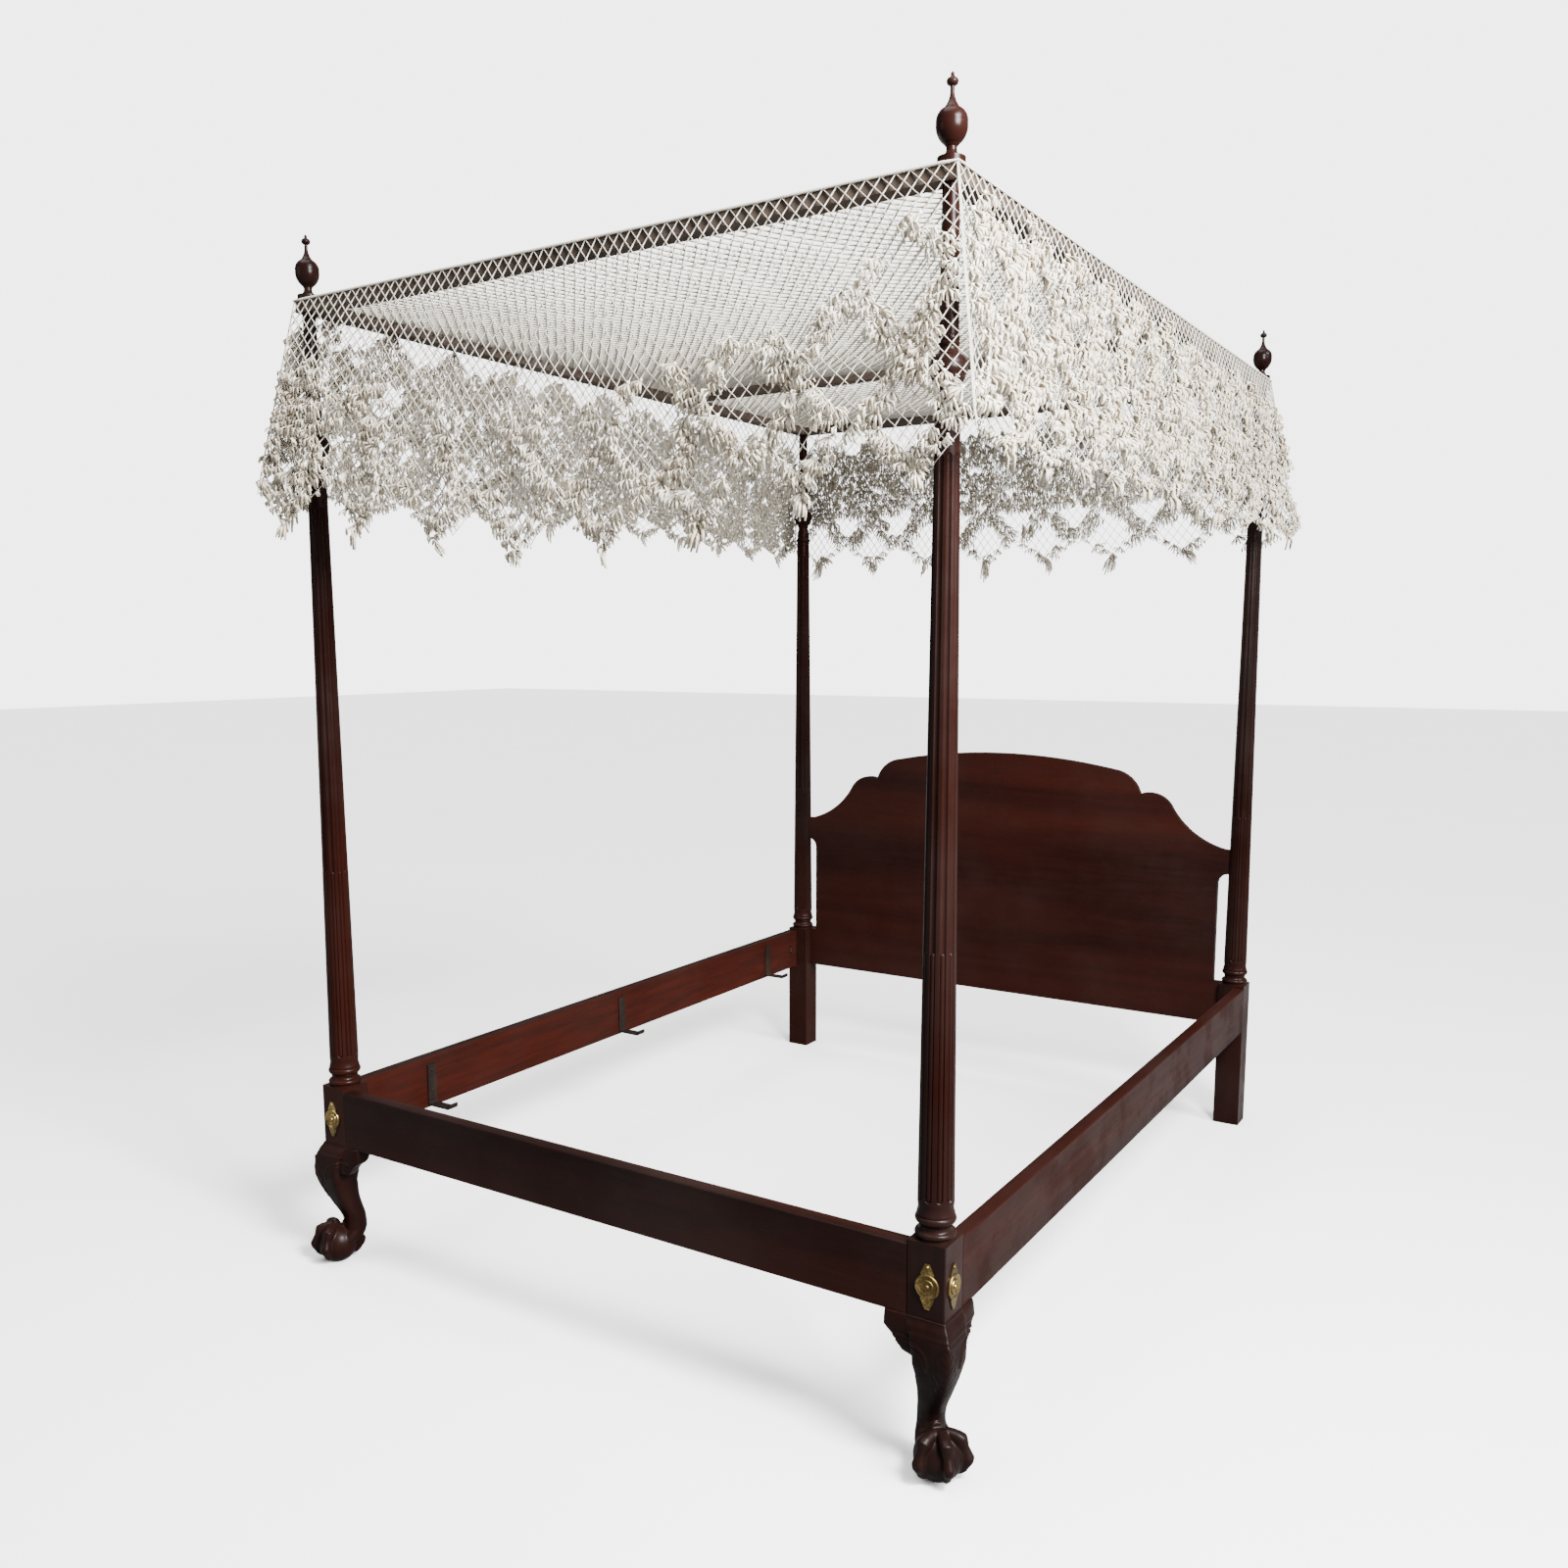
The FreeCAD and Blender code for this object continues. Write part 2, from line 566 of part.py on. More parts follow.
def bed_nuts():
    """Square nuts in the rails' slots."""
    half = NUT_WIDTH / 2
    nut = box(-half, half, -half, half, -NUT_THICKNESS / 2, NUT_THICKNESS / 2)
    nut = nut.cut(rod(BOLT_RADIUS + NUT_HOLE_CLEARANCE, NUT_THICKNESS * 2,
                      Vector(0, 0, -NUT_THICKNESS), Vector(0, 0, 1)))
    drawn_up = (NUT_SLOT_WIDTH - NUT_THICKNESS) / 2
    depth = BLOCK_WIDTH + NUT_FROM_RAIL_END - drawn_up
    return Part.makeCompound([turned_to(nut, inward, start + inward * depth)
                              for start, inward in bolt_lines()])


def board_rows():
    """Headboard outline, right half from the bottom middle to the crest, then its mirror."""
    width = HALF_X - BLOCK_HALF
    inner = width - SLOT_WIDTH
    ear = HALF_X - shaft_radius(SLOT_TOP) + EAR_INSET
    rise = BOARD_CREST - BOARD_SHOULDER
    half = [(width, BOARD_BOTTOM, 0), (width, BLOCK_TOP, 0), (inner, BLOCK_TOP, 0),
            (inner, SLOT_TOP - SLOT_RADIUS, 0), (inner + SLOT_RADIUS, SLOT_TOP, -QUARTER),
            (ear, SLOT_TOP, 0), (ear, BOARD_SHOULDER, 0)]
    half += [(x * width, BOARD_SHOULDER + z * rise, bulge) for x, z, bulge in BOARD_CREST_SHARES]
    mirror = []
    for index in range(len(half) - 2, -1, -1):
        mirror.append((-half[index][0], half[index][1], half[index + 1][2]))
    return half + mirror


def board_tenons(grow, side):
    """Tenon of the headboard's lower corner and the ear's end in one post, grown by a clearance."""
    thick = BOARD_THICKNESS / 2 + grow
    face = side * (HALF_X - BLOCK_HALF)
    ear = side * (HALF_X - shaft_radius(SLOT_TOP) + EAR_INSET + grow)
    lower = box(face - side * CUT_OVERRUN, face + side * (TENON_LENGTH + grow),
                HALF_Y - thick, HALF_Y + thick,
                BOARD_BOTTOM + TENON_SHOULDER - grow, BLOCK_TOP - TENON_SHOULDER + grow)
    upper = box(face - side * CUT_OVERRUN, ear, HALF_Y - thick, HALF_Y + thick,
                SLOT_TOP - grow, BOARD_SHOULDER + grow)
    return [lower, upper]


def headboard():
    """Arched headboard whose ears enter the shafts and whose lower corners enter the blocks."""
    face = outline_face(board_rows())
    face.translate(Vector(0, HALF_Y - BOARD_THICKNESS / 2, 0))
    shape = face.extrude(Vector(0, BOARD_THICKNESS, 0))
    for side in (-1, 1):
        shape = shape.fuse(board_tenons(0, side)[0])
    return shape.removeSplitter()


def rounded_square(z, shift, half, corner):
    """Closed wire of a square with rounded corners, shifted outward along the diagonal."""
    cx, cy = HALF_X + shift / math.sqrt(2), -HALF_Y - shift / math.sqrt(2)
    flat = half - corner
    inset = corner * (1 - math.sqrt(0.5))
    edges = []
    for turn in range(4):
        c, s = math.cos(turn * math.pi / 2), math.sin(turn * math.pi / 2)

        def at(u, v):
            return Vector(cx + c * u - s * v, cy + s * u + c * v, z)

        edges.append(Part.makeLine(at(half, -flat), at(half, flat)))
        edges.append(Part.Arc(at(half, flat), at(half - inset, half - inset),
                              at(flat, half)).toShape())
    return Part.Wire(edges)


def talon(angle):
    """One curved toe of the foot, from the ankle over the ball to its claw."""
    outward = math.radians(angle - 45)
    centre = Vector(HALF_X + BALL_SHIFT / math.sqrt(2), -HALF_Y - BALL_SHIFT / math.sqrt(2),
                    BALL_HEIGHT)
    reach = BALL_RADIUS + TALON_SEAT
    rings = []
    for tilt, share in TALON_SHARES:
        down = math.radians(tilt)
        radial = Vector(math.sin(down) * math.cos(outward), math.sin(down) * math.sin(outward),
                        math.cos(down))
        tangent = Vector(math.cos(down) * math.cos(outward), math.cos(down) * math.sin(outward),
                         -math.sin(down))
        circle = Part.Circle(centre + radial * reach, tangent, TALON_RADIUS * share)
        rings.append(Part.Wire(circle.toShape()))
    return Part.makeLoft(rings, True, False)


def foot_leg():
    """Right cabriole leg with a ball-and-claw foot, and the dowel that enters the block."""
    sections = []
    for height, shift, half, corner in LEG_SHARES:
        side = half * BLOCK_WIDTH
        sections.append(rounded_square(height * BLOCK_BOTTOM, shift * BLOCK_WIDTH, side,
                                       corner * side))
    shape = Part.makeLoft(sections, True, False)
    centre = Vector(HALF_X + BALL_SHIFT / math.sqrt(2), -HALF_Y - BALL_SHIFT / math.sqrt(2),
                    BALL_HEIGHT)
    shape = shape.fuse([Part.makeSphere(BALL_RADIUS, centre)]
                       + [talon(angle) for angle in TALON_ANGLES]
                       + [rod(DOWEL_RADIUS, DOWEL_LENGTH, Vector(HALF_X, -HALF_Y, BLOCK_BOTTOM),
                              Vector(0, 0, 1))])
    under = box(HALF_X - BLOCK_WIDTH * 2, HALF_X + BLOCK_WIDTH * 2, -HALF_Y - BLOCK_WIDTH * 2,
                -HALF_Y + BLOCK_WIDTH * 2, -BLOCK_WIDTH, 0)
    return shape.cut(under).removeSplitter()


def knee_block(under_side_rail, leg):
    """Shaped ear under a rail beside the right leg's knee, fitted to the leg."""
    rows = [(0, BLOCK_BOTTOM - EAR_DEPTH, 0)]
    rows += [(BLOCK_HALF + length * EAR_LENGTH, BLOCK_BOTTOM - depth * EAR_DEPTH, bulge)
             for length, depth, bulge in EAR_SHARES]
    rows.append((0, BLOCK_BOTTOM, 0))
    depth = RAIL_THICKNESS + EAR_PROUD
    ear = outline_face(rows).extrude(Vector(0, depth, 0))
    if under_side_rail:
        ear.rotate(Vector(0, 0, 0), Vector(0, 0, 1), 90)
        ear.translate(Vector(HALF_X + BLOCK_HALF + EAR_PROUD, -HALF_Y, 0))
    else:
        ear = mirrored_x(ear)
        ear.translate(Vector(HALF_X, -HALF_Y - BLOCK_HALF - EAR_PROUD, 0))
    return largest(ear.cut(leg))


def largest(shape):
    """The biggest solid of a cut."""
    return max(shape.Solids, key=lambda solid: solid.Volume)


def cover():
    """Bolt cover standing on the XY plane, its height along Y and its boss along +Z."""
    half = COVER_HEIGHT / 2
    tip, waist = COVER_TIP_WIDTH / 2, COVER_WAIST_WIDTH / 2
    waist_y = half * COVER_WAIST_SHARE
    points = [(tip, half), (-tip, half), (-waist, waist_y), (-waist, -waist_y), (-tip, -half),
              (tip, -half), (waist, -waist_y), (waist, waist_y)]
    loop = [Vector(x, y, 0) for x, y in points]
    plate = Part.Face(Part.makePolygon(loop + loop[:1])).extrude(Vector(0, 0, COVER_THICKNESS))
    rows = [(COVER_DISC_RADIUS, 0, 0)]
    rows += scaled_rows(COVER_SHARES, COVER_DISC_RADIUS, COVER_THICKNESS,
                        COVER_RISE - COVER_THICKNESS)
    shape = plate.fuse(turned(rows))
    hole = rod(PIN_RADIUS + PIN_CLEARANCE, COVER_RISE, Vector(0, half - PIN_FROM_TIP, 0),
               Vector(0, 0, 1))
    return shape.cut(hole).removeSplitter()


def placed_cover(outward, place):
    """A bolt cover turned to face outward and moved to its block."""
    shape = COVER.copy()
    shape.rotate(Vector(0, 0, 0), Vector(1, 0, 0), 90)
    angle = math.degrees(math.atan2(outward.y, outward.x)) + 90
    shape.rotate(Vector(0, 0, 0), Vector(0, 0, 1), angle)
    shape.translate(place)
    return shape


def round_head(radius, length, head_radius, head_height):
    """Round-headed pin along +Z from its tip; its head starts at z = 0."""
    return turned([(radius, -length, 0), (radius, 0, 0), (head_radius, 0, 0),
                   (head_radius * HEAD_FLAT_SHARE, head_height, HEAD_BULGE)])


def cover_pins():
    """Brass pins that the bolt covers hang on."""
    reach = PIN_LENGTH + COVER_THICKNESS + COVER_GAP * 2
    pin = round_head(PIN_RADIUS, reach, PIN_HEAD_RADIUS, PIN_HEAD_HEIGHT)
    return Part.makeCompound([
        turned_to(pin, outward, pin_point(place) + outward * (COVER_THICKNESS + COVER_GAP))
        for _, outward, place in cover_places()])


def hanger_screw_heights():
    """Heights of the screws in each hanger."""
    low = BLOCK_BOTTOM + HANGER_ABOVE_RAIL_BOTTOM
    return [low + share * HANGER_HEIGHT for share in HANGER_SCREW_SHARES]


def hanger(side, y):
    """Bent iron strip: upright against the rail, foot inward and a short lip at its end."""
    t, bend = HANGER_THICKNESS, HANGER_BEND
    foot, lip, tall = HANGER_FOOT, HANGER_LIP, HANGER_HEIGHT
    rows = [(bend + t, 0, 0), (foot - bend - t, 0, 0), (foot, bend + t, QUARTER), (foot, lip, 0),
            (foot - t, lip, 0), (foot - t, bend + t, 0), (foot - bend - t, t, -QUARTER),
            (bend + t, t, 0), (t, bend + t, -QUARTER), (t, tall, 0), (0, tall, 0),
            (0, bend + t, 0)]
    rows[0] = (bend + t, 0, QUARTER)
    strip = outline_face(rows).extrude(Vector(0, HANGER_WIDTH, 0))
    inner = HALF_X + BLOCK_HALF - RAIL_THICKNESS
    low = BLOCK_BOTTOM + HANGER_ABOVE_RAIL_BOTTOM
    strip.translate(Vector(-inner, y - HANGER_WIDTH / 2, low))
    if side == 1:
        strip = mirrored_x(strip)
    holes = [rod(SCREW_RADIUS + SCREW_CLEARANCE, t + CUT_OVERRUN * 2,
                 Vector(side * (inner + CUT_OVERRUN), y, z), Vector(-side, 0, 0))
             for z in hanger_screw_heights()]
    return strip.cut(holes)


def hanger_screws():
    """Round-headed screws through the hangers into the side rails."""
    screw = round_head(SCREW_RADIUS, SCREW_LENGTH, SCREW_HEAD_RADIUS, SCREW_HEAD_HEIGHT)
    inner = HALF_X + BLOCK_HALF - RAIL_THICKNESS
    screws = []
    for _, side in SIDES:
        for _, share in HANGER_PLACE_SHARES:
            for z in hanger_screw_heights():
                place = Vector(side * (inner - HANGER_THICKNESS), share * POST_SPAN_Y, z)
                screws.append(turned_to(screw, Vector(-side, 0, 0), place))
    return Part.makeCompound(screws)


def pin_holes():
    """Holes for the four tester pins through the laths and the net."""
    return [rod(TESTER_PIN_RADIUS + PIN_HOLE_CLEARANCE, LATH_THICKNESS + CUT_OVERRUN * 4,
                Vector(x, y, POST_TOP - CUT_OVERRUN), Vector(0, 0, 1))
            for x in (-HALF_X, HALF_X) for y in (-HALF_Y, HALF_Y)]


def lath(length_axis, x, y, length):
    """Flat lath centred on x and y."""
    half = LATH_WIDTH / 2
    if length_axis == "x":
        return box(x - length / 2, x + length / 2, y - half, y + half, POST_TOP, LATH_TOP)
    return box(x - half, x + half, y - length / 2, y + length / 2, POST_TOP, LATH_TOP)


def tester_laths():
    """Frame of four laths and a cross lath, half-lapped where they meet."""
    middle = POST_TOP + LATH_THICKNESS / 2
    span_x = POST_SPAN_X + LATH_OVERHANG * 2
    span_y = POST_SPAN_Y + LATH_OVERHANG * 2
    cross_y = {"foot": -HALF_Y, "head": HALF_Y, "cross": CROSS_LATH_Y}
    half = LATH_WIDTH / 2
    shapes = {}
    for name, side in SIDES:
        x = side * HALF_X
        shape = lath("y", x, 0, span_y)
        for end in (-1, 1):
            y = end * HALF_Y
            shape = shape.cut(box(x - half, x + half, y - half, y + half, middle, LATH_TOP))
        shape = shape.cut(box(x - half, x + half, CROSS_LATH_Y - half, CROSS_LATH_Y + half,
                              middle, LATH_TOP))
        shapes[name] = shape.cut(pin_holes()).removeSplitter()
    for name, y in cross_y.items():
        shape = lath("x", 0, y, span_x)
        for side in (-1, 1):
            x = side * HALF_X
            shape = shape.cut(box(x - half, x + half, y - half, y + half, POST_TOP, middle))
        shapes[name] = shape.cut(pin_holes()).removeSplitter()
    return shapes


def roof_bay(y0, y1, sag):
    """Facets of the net's belly between two cross laths."""
    x = HALF_X - LATH_WIDTH / 2
    middle, half = (y0 + y1) / 2, (y1 - y0) / 2
    ix, iy = x * ROOF_FLAT_SHARE, half * ROOF_FLAT_SHARE
    outer = [Vector(-x, y0, LATH_TOP), Vector(x, y0, LATH_TOP),
             Vector(x, y1, LATH_TOP), Vector(-x, y1, LATH_TOP)]
    low = LATH_TOP - sag
    inner = [Vector(-ix, middle - iy, low), Vector(ix, middle - iy, low),
             Vector(ix, middle + iy, low), Vector(-ix, middle + iy, low)]
    facets = [inner]
    for index in range(4):
        after = (index + 1) % 4
        facets.append([outer[index], outer[after], inner[after], inner[index]])
    up = Vector(0, 0, NET_THICKNESS)
    return [Part.Face(Part.makePolygon(loop + loop[:1])).extrude(up) for loop in facets]


def roof_holes(bays):
    """Upright diamond prisms in staggered rows, one per opening of the roof's net."""
    x_limit = HALF_X - LATH_WIDTH / 2 - ROOF_HOLE_MARGIN
    pitch_x = 2 * x_limit / ROOF_HOLE_COLUMNS
    pitch_y = (POST_SPAN_Y - LATH_WIDTH) / ROOF_HOLE_ROWS
    a = pitch_x * ROOF_HOLE_OPEN_SHARE / 2
    b = pitch_y * ROOF_HOLE_OPEN_SHARE
    low = LATH_TOP - max(ROOF_SAG_FOOT, ROOF_SAG_HEAD) - CUT_OVERRUN
    tall = Vector(0, 0, LATH_TOP + NET_THICKNESS + CUT_OVERRUN - low)
    prisms = []
    for row in range(ROOF_HOLE_ROWS):
        y = -HALF_Y + LATH_WIDTH / 2 + (row + 0.5) * pitch_y
        inside = [1 for y0, y1 in bays if y0 + b < y < y1 - b]
        if not inside:
            continue
        shift = pitch_x / 4 if row % 2 else -pitch_x / 4
        for column in range(ROOF_HOLE_COLUMNS):
            x = -x_limit + (column + 0.5) * pitch_x + shift
            loop = [Vector(x - a, y, low), Vector(x, y - b, low), Vector(x + a, y, low),
                    Vector(x, y + b, low)]
            prisms.append(Part.Face(Part.makePolygon(loop + loop[:1])).extrude(tall))
    return prisms


def canopy_roof():
    """Net roof: flat over the laths and sagging between them, one sheet full of gaps."""
    edge = LATH_OVERHANG + NET_GAP + NET_THICKNESS
    x, y = HALF_X + edge, HALF_Y + edge
    sheet = box(-x, x, -y, y, LATH_TOP, LATH_TOP + NET_THICKNESS)
    half = LATH_WIDTH / 2
    bays = ((-HALF_Y + half, CROSS_LATH_Y - half, ROOF_SAG_FOOT),
            (CROSS_LATH_Y + half, HALF_Y - half, ROOF_SAG_HEAD))
    facets = []
    for y0, y1, sag in bays:
        sheet = sheet.cut(box(-HALF_X + half, HALF_X - half, y0, y1, LATH_TOP,
                              LATH_TOP + NET_THICKNESS))
        facets += roof_bay(y0, y1, sag)
    sheet = sheet.fuse(facets).removeSplitter()
    holes = roof_holes([bay[:2] for bay in bays])
    print("roof gaps", len(holes))
    return sheet.cut(Part.makeCompound(holes)).cut(pin_holes())


def hem_line(share, droop):
    """Height of the hem's valleys at a share of its length, lower in the middle by the droop."""
    return LATH_TOP - VALANCE_DROP - droop * (4 * share * (1 - share)) ** DROOP_POWER


def hem_prism(reach, teeth, tooth, droop, depth):
    """Upright prism with the zigzag hem as its lower side, for trimming a valance."""
    top = LATH_TOP + CUT_OVERRUN
    width = 2 * reach / teeth
    loop = [Vector(reach, 0, top), Vector(-reach, 0, top)]
    for index in range(teeth + 1):
        x = -reach + index * width
        loop.append(Vector(x, 0, hem_line(index / teeth, droop)))
        if index < teeth:
            tip = hem_line((index + 0.5) / teeth, droop) - tooth
            loop.append(Vector(x + width / 2, 0, tip))
    face = Part.Face(Part.makePolygon(loop + loop[:1]))
    return face.extrude(Vector(0, -depth, 0))


def wavy_loop(half, y, z, folds, bulge, bow):
    """Closed loop of one edge of a valance: its inner line, and its outer line one net away."""
    shares = [index / folds - 1 for index in range(2 * folds + 1)]
    inner = [Vector(half * s, y + bow * (1 - s * s), z) for s in shares]
    outer = [point - Vector(0, NET_THICKNESS, 0) for point in inner]
    edges = []
    for index in range(2 * folds):
        edges.append(flat_arc(inner[index], inner[index + 1], bulge if index % 2 else -bulge))
    edges.append(Part.makeLine(inner[-1], outer[-1]))
    for index in range(2 * folds - 1, -1, -1):
        edges.append(flat_arc(outer[index + 1], outer[index], -bulge if index % 2 else bulge))
    edges.append(Part.makeLine(outer[0], inner[0]))
    return Part.Wire(edges)


def flat_arc(a, b, bulge):
    """Line or arc from a to b in a level plane."""
    if bulge == 0:
        return Part.makeLine(a, b)
    step = b - a
    middle = (a + b) * 0.5 + Vector(step.y, -step.x, 0) * bulge
    return Part.Arc(a, middle, b).toShape()


def valance(half, offset, teeth, tooth, droop):
    """Hanging net on the -Y side: straight at the laths, flared and folded at its zigzag hem."""
    depth = VALANCE_DROP + tooth + abs(droop) + CUT_OVERRUN
    flare = VALANCE_FLARE * depth / VALANCE_DROP
    bow = (VALANCE_FLARE - VALANCE_MIDDLE_FLARE) * depth / VALANCE_DROP
    top = wavy_loop(half, -offset, LATH_TOP, teeth, 0, 0)
    low = wavy_loop(half + flare, -offset - flare, LATH_TOP - depth, teeth,
                    VALANCE_FOLD_SHARE, bow)
    sheet = Part.makeLoft([top, low], True, True)
    prism = hem_prism(half + flare, teeth, tooth, droop, (offset + flare) * 2)
    return largest(sheet.common(prism))


def valances():
    """The four valances of the canopy, each turned to its side."""
    gap = LATH_OVERHANG + NET_GAP
    x, y = HALF_X + gap, HALF_Y + gap
    plan = (("foot", x - NET_GAP, y, END_TEETH, FOOT_TOOTH, FOOT_DROOP, 0),
            ("right", y - NET_GAP, x, SIDE_TEETH, SIDE_TOOTH, SIDE_DROOP, 90),
            ("head", x - NET_GAP, y, END_TEETH, HEAD_TOOTH, HEAD_DROOP, 180),
            ("left", y - NET_GAP, x, SIDE_TEETH, SIDE_TOOTH, SIDE_DROOP, 270))
    shapes = {}
    for name, half, offset, teeth, tooth, droop, turn in plan:
        shape = valance(half, offset, teeth, tooth, droop)
        shape.rotate(Vector(0, 0, 0), Vector(0, 0, 1), turn)
        shapes[name] = shape
    return shapes


def save(name, shape):
    """Write one sub-part."""
    shape.exportStep(os.path.join("parts", name + ".step"))
    if not shape.isValid():
        print("not valid:", name)


SHAFT = fluted_shaft()
COVER = cover()


def main():
    """Build every sub-part and write it."""
    os.makedirs("parts", exist_ok=True)
    top, pin, knob = post_top(), tester_pin(), finial()
    pins = []
    for end_name, end in ENDS:
        for side_name, side in SIDES:
            x, y = side * HALF_X, end * HALF_Y
            save(end_name + "_post_" + side_name, post(end, side))
            save("post_top_" + end_name + "_" + side_name, moved(top, x, y, 0))
            save("finial_" + end_name + "_" + side_name, moved(knob, x, y, 0))
            pins.append(moved(pin, x, y, 0))
    save("tester_pins", Part.makeCompound(pins))
    right_leg = foot_leg()
    save("foot_leg_right", right_leg)
    save("foot_leg_left", mirrored_x(right_leg))
    for name, under_side_rail in (("foot", False), ("side", True)):
        ear = knee_block(under_side_rail, right_leg)
        save("knee_block_" + name + "_right", ear)
        save("knee_block_" + name + "_left", mirrored_x(ear))
    for name, side in SIDES:
        save("side_rail_" + name, side_rail(side))
        for place, share in HANGER_PLACE_SHARES:
            save("hanger_" + place + "_" + name, hanger(side, share * POST_SPAN_Y))
    save("hanger_screws", hanger_screws())
    save("foot_rail", foot_rail())
    save("headboard", headboard())
    save("bed_bolts", bed_bolts())
    save("bed_nuts", bed_nuts())
    save("cover_pins", cover_pins())
    for name, outward, place in cover_places():
        save("bolt_cover_" + name, placed_cover(outward, place))
    for name, shape in tester_laths().items():
        save("tester_lath_" + name, shape)
    save("canopy_roof", canopy_roof())
    for name, shape in valances().items():
        save("canopy_valance_" + name, shape)


main()
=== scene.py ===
"""Looks of a mahogany four-poster bed with carved feet and a knotted, tufted net canopy."""
import logging
import math
from dataclasses import dataclass, replace
from enum import Enum
from functools import cached_property
from typing import Iterable, Sequence

import bmesh
import bpy
import numpy as np
from bmesh.types import BMEdge, BMesh, BMLayerItem, BMVert
from bpy.types import ID, Material, Mesh, Node, NodeOutputs, NodeSocket, NodeTree, Object
from mathutils import Matrix, Vector, noise
from mathutils.geometry import intersect_point_line


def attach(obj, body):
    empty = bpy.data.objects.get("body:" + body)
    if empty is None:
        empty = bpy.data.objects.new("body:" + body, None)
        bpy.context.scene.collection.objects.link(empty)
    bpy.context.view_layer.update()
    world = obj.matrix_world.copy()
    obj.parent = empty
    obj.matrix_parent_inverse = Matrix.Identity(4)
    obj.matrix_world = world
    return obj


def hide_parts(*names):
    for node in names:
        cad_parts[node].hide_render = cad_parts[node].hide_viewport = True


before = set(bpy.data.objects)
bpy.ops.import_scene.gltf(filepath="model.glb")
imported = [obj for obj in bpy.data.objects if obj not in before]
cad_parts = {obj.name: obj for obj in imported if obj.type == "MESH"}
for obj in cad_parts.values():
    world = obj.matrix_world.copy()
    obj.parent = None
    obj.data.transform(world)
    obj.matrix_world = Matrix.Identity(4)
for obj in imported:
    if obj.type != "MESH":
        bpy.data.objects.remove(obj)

log = logging.getLogger("bed")

Colour = tuple[float, float, float, float]


class Grain(Enum):
    """Row axis that a board's grain runs along."""

    X = "x"
    Y = "y"
    Z = "z"


@dataclass(frozen=True)
class Sizes:
    """Sizes that the looks share with the frame, in metres."""

    half_x: float = 0.777
    half_y: float = 1.050
    block: float = 0.075
    block_bottom: float = 0.298
    lath_over: float = 0.020
    lath_top: float = 2.225
    net_gap: float = 0.0003
    net: float = 0.003
    drop: float = 0.405
    flare: float = 0.068
    middle_flare: float = 0.030
    cross_y: float = 0.3003
    lath_width: float = 0.040
    rail_inner: float = 0.7825


BED = Sizes()


def dimmed(colour: Colour, share: float) -> Colour:
    """The same colour at a share of its brightness."""
    return tuple(part * share for part in colour[:3]) + (1.0,)


class Graph:
    """Adds and joins the nodes of one shader tree."""

    def __init__(self, tree: NodeTree) -> None:
        """Keep the tree."""
        self.tree = tree

    def add(self, kind: str, values: dict | None = None, **settings) -> Node:
        """Add a node.

        Args:
            kind: Blender's name of the node type.
            values: what its sockets hold or read, by their names or numbers.
            **settings: attributes of the node.

        Returns:
            The new node.
        """
        node = self.tree.nodes.new(kind)
        for name, value in settings.items():
            setattr(node, name, value)
        self.feed(node, values or {})
        return node

    def feed(self, node: Node, values: dict) -> None:
        """Give a node's sockets what they hold or read.

        Args:
            node: the node.
            values: a constant or another node's socket for each socket's name or number.
        """
        for name, value in values.items():
            if isinstance(value, NodeSocket):
                self.tree.links.new(value, node.inputs[name])
            else:
                node.inputs[name].default_value = value

    def noise(self, vector: NodeSocket, scale: float, detail: float, rough: float = 0.55,
              distortion: float = 0.0) -> NodeSocket:
        """Read a noise of some fineness, number of octaves, roughness and stirring."""
        return self.add("ShaderNodeTexNoise", {
            "Vector": vector, "Scale": scale, "Detail": detail, "Roughness": rough,
            "Distortion": distortion}).outputs["Fac"]

    def ranged(self, value: NodeSocket, low: float, high: float, to_low: float = 0.0,
               to_high: float = 1.0) -> NodeSocket:
        """Map a value's range smoothly to another one."""
        return self.add("ShaderNodeMapRange", {
            "Value": value, "From Min": low, "From Max": high, "To Min": to_low,
            "To Max": to_high}, interpolation_type="SMOOTHSTEP").outputs["Result"]

    def blend(self, factor: NodeSocket, a: Colour | NodeSocket,
              b: Colour | NodeSocket) -> NodeSocket:
        """Mix two colours by the second one's share."""
        return self.add("ShaderNodeMix", {0: factor, 6: a, 7: b}, data_type="RGBA").outputs[2]

    def math(self, operation: str, a: NodeSocket, b: NodeSocket | float = 0.0) -> NodeSocket:
        """Work out one sum."""
        return self.add("ShaderNodeMath", {0: a, 1: b}, operation=operation).outputs[0]

    def bump(self, height: NodeSocket, strength: float, distance: float) -> NodeSocket:
        """Turn a height into a normal, with its relief in metres."""
        return self.add("ShaderNodeBump", {"Height": height, "Strength": strength,
                                           "Distance": distance}).outputs[0]

    def group(self, tree: NodeTree, vector: NodeSocket, value: float = 1.0) -> NodeOutputs:
        """Place a shared group, with what its pattern reads and its Fineness or Amount."""
        return self.add("ShaderNodeGroup", {0: vector, 1: value}, node_tree=tree).outputs


